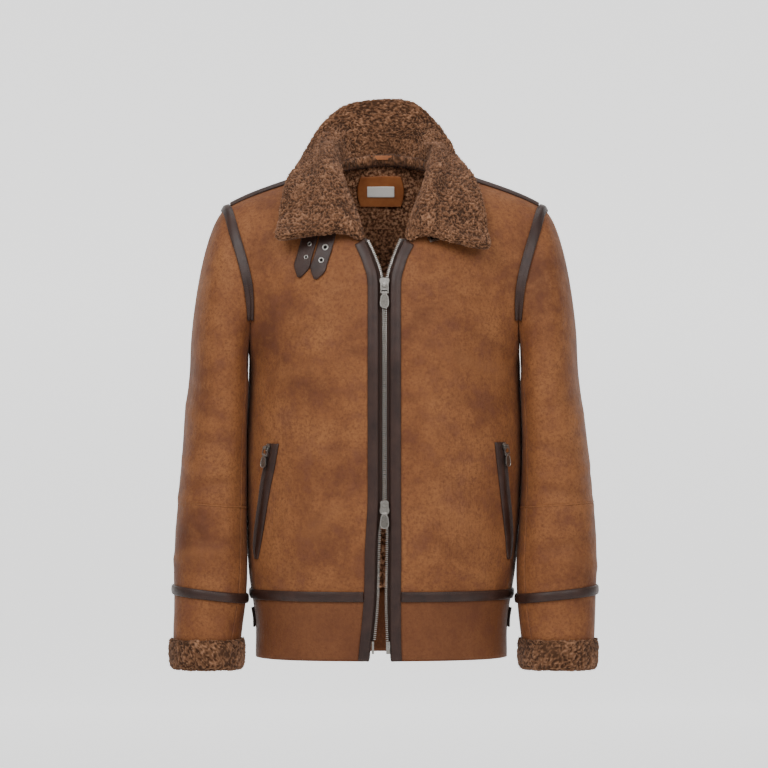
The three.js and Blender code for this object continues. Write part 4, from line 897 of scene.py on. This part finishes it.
def turned_edge(name, node, keep):
    """Thin ridge along the parts of a node's outline that keep(middle) picks."""
    tree = surface_of(cloth[node])
    points, faces = [], []
    for pieces in outlines(node):
        for start, end, inwards in pieces:
            if not keep(start.lerp(end, 0.5)):
                continue
            first = len(points)
            for share in np.linspace(0, 1, 5):
                at, up, _, _ = tree.find_nearest(start.lerp(end, share) + inwards * 0.5 * MM)
                for k in range(SEAM_RING):
                    turn = 2 * math.pi * k / SEAM_RING
                    side = inwards * math.cos(turn) + up * math.sin(turn) * 0.7
                    points.append(at + side * SEAM_HALF)
            for step in range(4):
                for k in range(SEAM_RING):
                    a, b = first + step * SEAM_RING + k, first + step * SEAM_RING + (k + 1) % SEAM_RING
                    faces.append((a, b, b + SEAM_RING, a + SEAM_RING))
    mesh = bpy.data.meshes.new(name)
    mesh.from_pydata(points, [], faces)
    mesh.materials.append(NUBUCK)
    mesh.shade_smooth()
    # a high fold value paints the turned edge lighter: a painted highlight
    keep_value(mesh, "fold", np.full(len(points), 2.4))
    return shown(name, mesh)


for side in SIDES:
    for half in ("top", "under"):
        turned_edge(f"elbow_edge_{half}_{side}", f"sleeve_upper_{half}_{side}", lambda p: p.z < -0.455)
print("turned edges at both elbows")

# %% [markdown]
# ## Eyelets
# Two eyelets in each throat strap take the buckle's tongue. An eyelet is a rolled ring of metal
# round a hole, and the hole is a dark disc of painted shadow. Each is set on the strap where a
# line from straight in front meets it.

# %% Set the eyelets
# strap, x, z, radius of the ring, radius of the hole, in mm
EYELETS = [
    ("throat_strap_inner", -81.5, -112.8, 4.6, 2.5),
    ("throat_strap_inner", -87.0, -130.6, 4.2, 2.3),
    ("throat_strap_outer", -103.3, -108.0, 3.4, 1.7),
    ("throat_strap_outer", -108.0, -126.0, 3.2, 1.6),
]
ROUND = 20


def turned_ring(frame_of, profile):
    """Points and faces of a ring: profile is (radius, height) in mm, carried round."""
    points = [frame_of @ Vector((r * MM * math.cos(a), r * MM * math.sin(a), h * MM))
              for a in (2 * math.pi * k / ROUND for k in range(ROUND)) for r, h in profile]
    wide = len(profile)
    faces = []
    for k in range(ROUND):
        for i in range(wide - 1):
            a, b = k * wide + i, (k + 1) % ROUND * wide + i
            faces.append((a, a + 1, b + 1, b))
    return points, faces


def joined(name, shapes, material):
    """One mesh of several (points, faces)."""
    points, faces = [], []
    for more, sides in shapes:
        faces += [tuple(len(points) + i for i in side) for side in sides]
        points += more
    mesh = bpy.data.meshes.new(name)
    mesh.from_pydata(points, [], faces)
    mesh.materials.append(material)
    mesh.shade_smooth()
    return shown(name, mesh)


rings, hole_shadows = [], []
for node, x, z, outer, hole in EYELETS:
    spot = Vector((x * MM, -0.4, z * MM))
    at, up, _, _ = surface_of(cloth[node]).ray_cast(spot, Vector((0, 1, 0)))
    frame_of = Matrix.Translation(at) @ up.to_track_quat("Z", "Y").to_matrix().to_4x4()
    middle = (outer + hole) / 2
    rolled = [(outer, -0.3), (outer, 0.3), (outer - 0.4, 0.75), (middle, 0.95), (hole + 0.2, 0.7), (hole, 0.2), (hole, -0.3)]
    rings.append(turned_ring(frame_of, rolled))
    # the hole is a dark disc: a painted shadow
    hole_shadows.append(turned_ring(frame_of, [(hole, 0.12), (0.01, 0.12)]))
joined("eyelet_rings", rings, SILVER)
joined("eyelet_hole_shadows", hole_shadows, HOLE_SHADOW)
print(len(EYELETS), "eyelets")

# %% [markdown]
# ## The wool of the collar and cuffs
# Clipped sheep's wool is a crowd of small curls. Modelled one by one they would need millions of
# hairs, so the skin is pushed out into winding ridges first, as deep as the curls are, and then
# loose locks are planted on it to break its outline.


# %% Curl field
def curl_height(points, size, seed):
    """Winding ridges, from 0 in the roots to 1 on the tips."""
    shift = Vector((seed * 11.0, seed * 5.0, seed * 3.0))
    heights = np.empty(len(points))
    for n, point in enumerate(points):
        p = Vector(point) / size + shift
        bent = p + 0.55 * noise.noise_vector(p * 0.8)
        coarse = 1 - min(abs(noise.noise(bent)) * 2.6, 1)
        fine = 1 - min(abs(noise.noise(bent * 2.1 + shift)) * 2.4, 1)
        lump = noise.noise(p * 0.22)
        heights[n] = 0.58 * coarse + 0.32 * fine + 0.22 * lump
    return np.clip(heights, 0, 1)


def woolly(piece, size, deep, seed, wool_only=True):
    """Pushes the wool of a piece out into curls, and keeps their height as an attribute."""
    mesh = piece.data
    points = read_points(mesh)
    normals = read_normals(mesh)
    wool = np.ones(len(points))
    if wool_only:
        wool[:] = 0
        for face in mesh.polygons:
            if face.material_index:
                wool[list(face.vertices)] = 1
        for face in mesh.polygons:
            if not face.material_index:
                wool[list(face.vertices)] = 0
    height = curl_height(points, size, seed)
    points += normals * ((height - 0.95) * deep * wool)[:, None]
    write_points(mesh, points)
    keep_value(mesh, "curl", height)


TIP_DROP = 10 * MM
TIP_MIDDLE = 37 * MM
TIP_WIDE = 13 * MM


def hanging_tips(piece):
    """Lets the wool of both collar leaves hang lower beside the zip, over the ends of its strips."""
    points = read_points(piece.data)
    beside = np.exp(-(((np.abs(points[:, 0]) - TIP_MIDDLE) / TIP_WIDE) ** 2))
    low = 1 - steps(-0.094, -0.072, points[:, 2])
    points[:, 2] -= TIP_DROP * beside * low * (points[:, 1] < 0)
    write_points(piece.data, points)


COLLAR_FACES = [NUBUCK, COLLAR_WOOL, COLLAR_WOOL]
cloth["collar"] = tailored("collar", COLLAR_FACES, 4, 0.0, thick=True)
hanging_tips(cloth["collar"])
woolly(cloth["collar"], 0.0042, 0.0044, 1)
for side in SIDES:
    node = "cuff_" + side
    cloth[node] = tailored(node, [CUFF_WOOL] * 3, 3, 0.0)
    woolly(cloth[node], 0.0046, 0.0038, 2, wool_only=False)
print("wool pushed out on the collar and cuffs")

# %% [markdown]
# ## Loose locks
# A lock is a thin tapering tube bent into a hook. Thousands are planted on the wool with a fixed
# seed, each leaning its own way, and joined into one mesh. They carry the curl attribute too, so
# they are dark at the root with painted shade and light at the tip with a painted highlight.

# %% Plant locks
LOCK_STEPS = 4
LOCK_SIDES = 3


def spots_on(piece, kinds, count, seed, keep=None):
    """Random places on the faces of some materials, with the way out of the wool there."""
    rng = np.random.default_rng(seed)
    mesh = piece.data
    faces = [f for f in mesh.polygons if f.material_index in kinds and (keep is None or keep(f.center))]
    share = np.array([f.area for f in faces])
    chosen = rng.choice(len(faces), count, p=share / share.sum())
    places, ways = np.empty((count, 3)), np.empty((count, 3))
    for n, k in enumerate(chosen):
        corners = [mesh.vertices[i].co for i in faces[k].vertices]
        weights = rng.dirichlet(np.ones(len(corners)))
        places[n] = sum((c * w for c, w in zip(corners, weights)), Vector())
        ways[n] = faces[k].normal
    return places, ways


def locks(name, places, ways, tall, thick, seed, material):
    """One mesh of hooked locks."""
    rng = np.random.default_rng(seed)
    count = len(places)
    sideways = np.cross(ways, rng.normal(size=(count, 3)))
    sideways /= np.linalg.norm(sideways, axis=1)[:, None]
    across = np.cross(ways, sideways)
    height = tall * rng.uniform(0.6, 1.25, count)
    bend = rng.uniform(1.2, 3.6, count)
    rings = []
    for step in range(LOCK_STEPS):
        t = step / (LOCK_STEPS - 1)
        angle = bend * t
        radius = height / bend
        up = radius * np.sin(angle)
        along = radius * (1 - np.cos(angle))
        middle = places + ways * (up - 0.45 * tall)[:, None] + sideways * along[:, None]
        heading = ways * np.cos(angle)[:, None] + sideways * np.sin(angle)[:, None]
        out = np.cross(heading, across)
        width = thick * (1 - 0.6 * t) * np.ones(count)
        for k in range(LOCK_SIDES):
            a = 2 * math.pi * k / LOCK_SIDES
            rings.append(middle + (out * math.cos(a) + across * math.sin(a)) * width[:, None])
    points = np.stack(rings, 1)
    per = LOCK_STEPS * LOCK_SIDES
    pattern = []
    for step in range(LOCK_STEPS - 1):
        for k in range(LOCK_SIDES):
            a, b = step * LOCK_SIDES + k, step * LOCK_SIDES + (k + 1) % LOCK_SIDES
            pattern.append((a, b, b + LOCK_SIDES, a + LOCK_SIDES))
    faces = (np.array(pattern)[None] + (np.arange(count) * per)[:, None, None]).reshape(-1, 4)
    ends = (np.array([[per - 3, per - 2, per - 1]])[None] + (np.arange(count) * per)[:, None, None]).reshape(-1, 3)
    mesh = bpy.data.meshes.new(name)
    mesh.from_pydata(points.reshape(-1, 3).tolist(), [], faces.tolist() + ends.tolist())
    mesh.materials.append(material)
    mesh.shade_smooth()
    # curl from root to tip: painted shade at the root, painted highlight at the tip, varied lock by lock
    along = np.repeat(np.linspace(0.25, 1.0, LOCK_STEPS), LOCK_SIDES)
    shade = rng.uniform(0.65, 1.1, count)
    keep_value(mesh, "curl", np.clip(shade[:, None] * along[None], 0, 1).ravel())
    piece = shown(name, mesh)
    print(f"{name}: {count} locks, {len(faces) + len(ends)} faces")
    return piece


places, ways = spots_on(cloth["collar"], (1, 2), 4800, 11)
locks("collar_locks", places, ways, 0.0042, 0.00062, 12, COLLAR_WOOL)
for n, side in enumerate(SIDES):
    places, ways = spots_on(cloth["cuff_" + side], (0, 1, 2), 1200, 21 + n)
    locks("cuff_locks_" + side, places, ways, 0.0034, 0.00055, 23 + n, CUFF_WOOL)

# %% [markdown]
# ## The fleece lining
# Inside, the wool is clipped shorter. Only a little of it shows: the back of the neck, the edges
# of the open throat, and a strip through the open foot of the zip. Locks are planted just there.

# %% Lining locks
places, ways = spots_on(cloth["back"], (1,), 2600, 31, keep=lambda c: abs(c.x) < 0.085 and c.z > -0.2)
locks("lining_locks_back", places, ways, 0.0034, 0.0006, 32, LOCK_WOOL)
near_seam = lambda c: abs(c.x) < 0.075 and c.y > 0.02 and abs(c.z - neck_seam_height(c.x)) < 0.011
places, ways = spots_on(cloth["back"], (1,), 520, 41, keep=near_seam)
locks("lining_locks_neck", places, ways, 0.0048, 0.0007, 42, LOCK_WOOL)
places, ways = spots_on(cloth["collar"], (1,), 520, 43, keep=near_seam)
locks("collar_locks_neck", places, ways, 0.0052, 0.0007, 44, COLLAR_WOOL)


def seam_roll(half, radius, rings=150, sides=20):
    """Roll of wool that fills the seam between the back and the collar, from -half to half."""
    skins = [(surface_of(cloth["collar"]), 0.008), (surface_of(cloth["back"]), -0.008)]
    inside = Vector((0, 1, 0))
    points, depth = [], 0.06
    for x in np.linspace(-half, half, rings):
        z = neck_seam_height(x) - 0.001
        hits = [tree.ray_cast(Vector((x, -0.02, z + step)), inside)[0] for tree, step in skins]
        depths = [hit.y for hit in hits if hit]
        depth = min(depths) - 0.001 if depths else depth
        thin = math.sqrt(max(1 - (x / half) ** 6, 0.02))
        for k in range(sides):
            turn = 2 * math.pi * k / sides
            points.append((x, depth + radius * thin * math.cos(turn), z + radius * thin * math.sin(turn)))
    faces = [tuple(range(sides)), tuple(reversed(range((rings - 1) * sides, rings * sides)))]
    for ring in range(rings - 1):
        for k in range(sides):
            a, b = ring * sides + k, ring * sides + (k + 1) % sides
            faces.append((a, a + sides, b + sides, b))
    mesh = bpy.data.meshes.new("neck_seam_wool")
    mesh.from_pydata(points, [], faces)
    mesh.materials.append(COLLAR_WOOL)
    mesh.shade_smooth()
    return shown("neck_seam_wool", mesh)


roll = seam_roll(0.066, 0.0068)
woolly(roll, 0.0042, 0.0036, 45, wool_only=False)
print("wool in the neck seam:", len(roll.data.polygons), "faces")
places, ways = spots_on(cloth["back"], (1,), 420, 33, keep=lambda c: abs(c.x) < 0.03 and -0.6 < c.z < -0.48)
locks("lining_locks_foot", places, ways, 0.0036, 0.0008, 34, LOCK_WOOL)
for n, side in enumerate(SIDES):
    near_throat = lambda c: abs(c.x) < 0.075 and c.z > -0.15
    places, ways = spots_on(cloth["front_" + side], (1, 2), 700, 35 + n, keep=near_throat)
    locks("lining_locks_" + side, places, ways, 0.0032, 0.0006, 37 + n, LOCK_WOOL)

# %% [markdown]
# ## Zip teeth
# The front zip has a metal chain. Each tooth is a small block clamped on the tape's bead, with a
# nose that reaches between two teeth of the other side. Below the lower slider and above the upper
# one the two rows part, and each follows its own tape. The rows are read from the tape's solid.

# %% Zip tapes and teeth
TOOTH_PITCH = 2.8 * MM
TOOTH_HALF = 0.66 * MM
TOOTH_LONG = 2.7 * MM
TOOTH_DEEP = 2.2 * MM
NOSE = 0.9 * MM


def zip_rows(node, side):
    """Stations of a zip tape from its foot up: the teeth's meeting line, the sewn edge and the face."""
    points = read_points(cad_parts[node].data)
    rows = []
    for z in sorted(set(np.round(points[:, 2], 5))):
        row = points[np.abs(points[:, 2] - z) < 2e-5]
        rows.append((z, min(row[:, 0] * side) * side, max(row[:, 0] * side) * side, min(row[:, 1])))
    return np.array(rows)


def teeth(name, rows, side, start):
    """One mesh of all the teeth on a tape."""
    z, meet, _, face = rows.T
    away = np.concatenate([[0], np.cumsum(np.hypot(np.diff(z), np.hypot(np.diff(meet), np.diff(face))))])
    at = np.arange(start, away[-1] - TOOTH_HALF, TOOTH_PITCH)
    centre = np.stack([np.interp(at, away, meet), np.interp(at, away, face), np.interp(at, away, z)], 1)
    nearby = np.stack([np.interp(at + MM, away, meet), np.interp(at + MM, away, face), np.interp(at + MM, away, z)], 1)
    up = nearby - centre
    up /= np.maximum(np.linalg.norm(up, axis=1), 1e-9)[:, None]
    up[-1] = up[-2]
    into = np.array([0.0, 1.0, 0.0])
    root = np.cross(up, into)
    root *= np.sign(root[:, 0] * side)[:, None]
    # reach from the meeting line, half height, depth of the front and of the back face
    outline = [
        (-NOSE, 0.45, 0.55),
        (-0.2 * NOSE, 0.8, 0.12),
        (0.55 * TOOTH_LONG, 1.0, 0.0),
        (TOOTH_LONG, 0.9, 0.25),
    ]
    rings = []
    for reach, half, sunk in outline:
        for dz, depth in ((-half, sunk), (half, sunk), (half, TOOTH_DEEP / MM - sunk), (-half, TOOTH_DEEP / MM - sunk)):
            rings.append(centre + root * reach + up * dz * TOOTH_HALF + into * depth * MM)
    points = np.stack(rings, 1)
    faces = [(0, 3, 2, 1), (12, 13, 14, 15)]
    for ring in range(3):
        for k in range(4):
            a, b = ring * 4 + k, ring * 4 + (k + 1) % 4
            faces.append((a, b, b + 4, a + 4))
    every = (np.array(faces)[None] + (np.arange(len(at)) * 16)[:, None, None]).reshape(-1, 4)
    mesh = bpy.data.meshes.new(name)
    mesh.from_pydata(points.reshape(-1, 3).tolist(), [], every.tolist())
    mesh.materials.append(SILVER)
    bm = bmesh.new()
    bm.from_mesh(mesh)
    bmesh.ops.recalc_face_normals(bm, faces=bm.faces)
    bm.to_mesh(mesh)
    bm.free()
    piece = shown(name, mesh)
    print(f"{name}: {len(at)} teeth")
    return piece


def tape_strip(name, rows, side):
    """Tape behind the teeth, from under their roots to the seam."""
    z, meet, sewn, face = rows.T
    back = face + 2.4 * MM
    start = meet + side * 1.6 * MM
    columns = [start, start * 0.5 + sewn * 0.5, sewn]
    points = [(x, y, h) for column in columns for x, y, h in zip(column, back, z)]
    count = len(z)
    faces = []
    for c in range(2):
        for n in range(count - 1):
            a = c * count + n
            faces.append((a, a + count, a + count + 1, a + 1) if side > 0 else (a, a + 1, a + count + 1, a + count))
    mesh = bpy.data.meshes.new(name)
    mesh.from_pydata(points, [], faces)
    mesh.materials.append(TAPE)
    mesh.shade_smooth()
    piece = shown(name, mesh)
    thick = piece.modifiers.new("thick", "SOLIDIFY")
    thick.thickness = 0.6 * MM
    thick.offset = 0
    return piece


for n, (side, sign) in enumerate(SIDES.items()):
    node = "zip_tape_" + side
    rows = zip_rows(node, sign)
    tape = tape_strip(node + "_weave", rows, sign)
    chain = teeth("zip_teeth_" + side, rows, sign, 1.2 * MM + n * TOOTH_PITCH / 2)
    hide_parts(node)

# %% [markdown]
# ## Metal parts
# Sliders, links, pulls, the foot of the zip and the buckles already have their shape in the solid
# model. They get the aged silver, and a narrow bevel, because it is the rounded edges that catch
# the light on small metal parts. Each front pull also has a sunken face with a rim.

# %% Metal nodes
METAL_NODES = [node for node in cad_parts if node.startswith(("zip_slider", "zip_link", "zip_paddle", "pocket_slider"))]
METAL_NODES += [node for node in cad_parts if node.startswith(("pocket_link", "pocket_paddle"))]
METAL_NODES += ["zip_box", "zip_pin", "buckle_inner", "buckle_outer"]
RIM = 1.2 * MM
SUNK = 0.4 * MM


def sunken_pull(node):
    """A pull with a rim round its sunken front face, in place of the plain solid."""
    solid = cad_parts[node]
    bm = bmesh.new()
    bm.from_mesh(solid.data)
    bmesh.ops.transform(bm, matrix=solid.matrix_world, verts=bm.verts)
    bmesh.ops.remove_doubles(bm, verts=bm.verts, dist=2e-5)
    bmesh.ops.dissolve_limit(bm, angle_limit=math.radians(3), verts=bm.verts, edges=bm.edges)
    front = max(bm.faces, key=lambda face: -face.normal.y * face.calc_area())
    bmesh.ops.inset_region(bm, faces=[front], thickness=RIM * (1 if "zip" in node else 0.8))
    bmesh.ops.inset_region(bm, faces=[front], thickness=0.15 * MM, depth=-SUNK)
    front.material_index = 1
    mesh = bpy.data.meshes.new(node + "_cast")
    bm.to_mesh(mesh)
    bm.free()
    mesh.materials.append(SILVER)
    mesh.materials.append(TARNISHED)
    piece = shown(node + "_cast", mesh, node + "_body")
    bevel = piece.modifiers.new("edges", "BEVEL")
    bevel.width = 0.2 * MM
    bevel.segments = 2
    bevel.limit_method = "ANGLE"
    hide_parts(node)
    return piece


for node in [node for node in METAL_NODES if "paddle" in node]:
    pull = sunken_pull(node)
    METAL_NODES.remove(node)
    print(pull.name, len(pull.data.polygons), "faces")
for node in METAL_NODES:
    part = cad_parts[node]
    part.data.materials.clear()
    part.data.materials.append(SILVER)
    bevel = part.modifiers.new("edges", "BEVEL")
    bevel.width = 0.25 * MM
    bevel.segments = 2
    bevel.limit_method = "ANGLE"
print(len(METAL_NODES), "metal parts with bevelled edges")
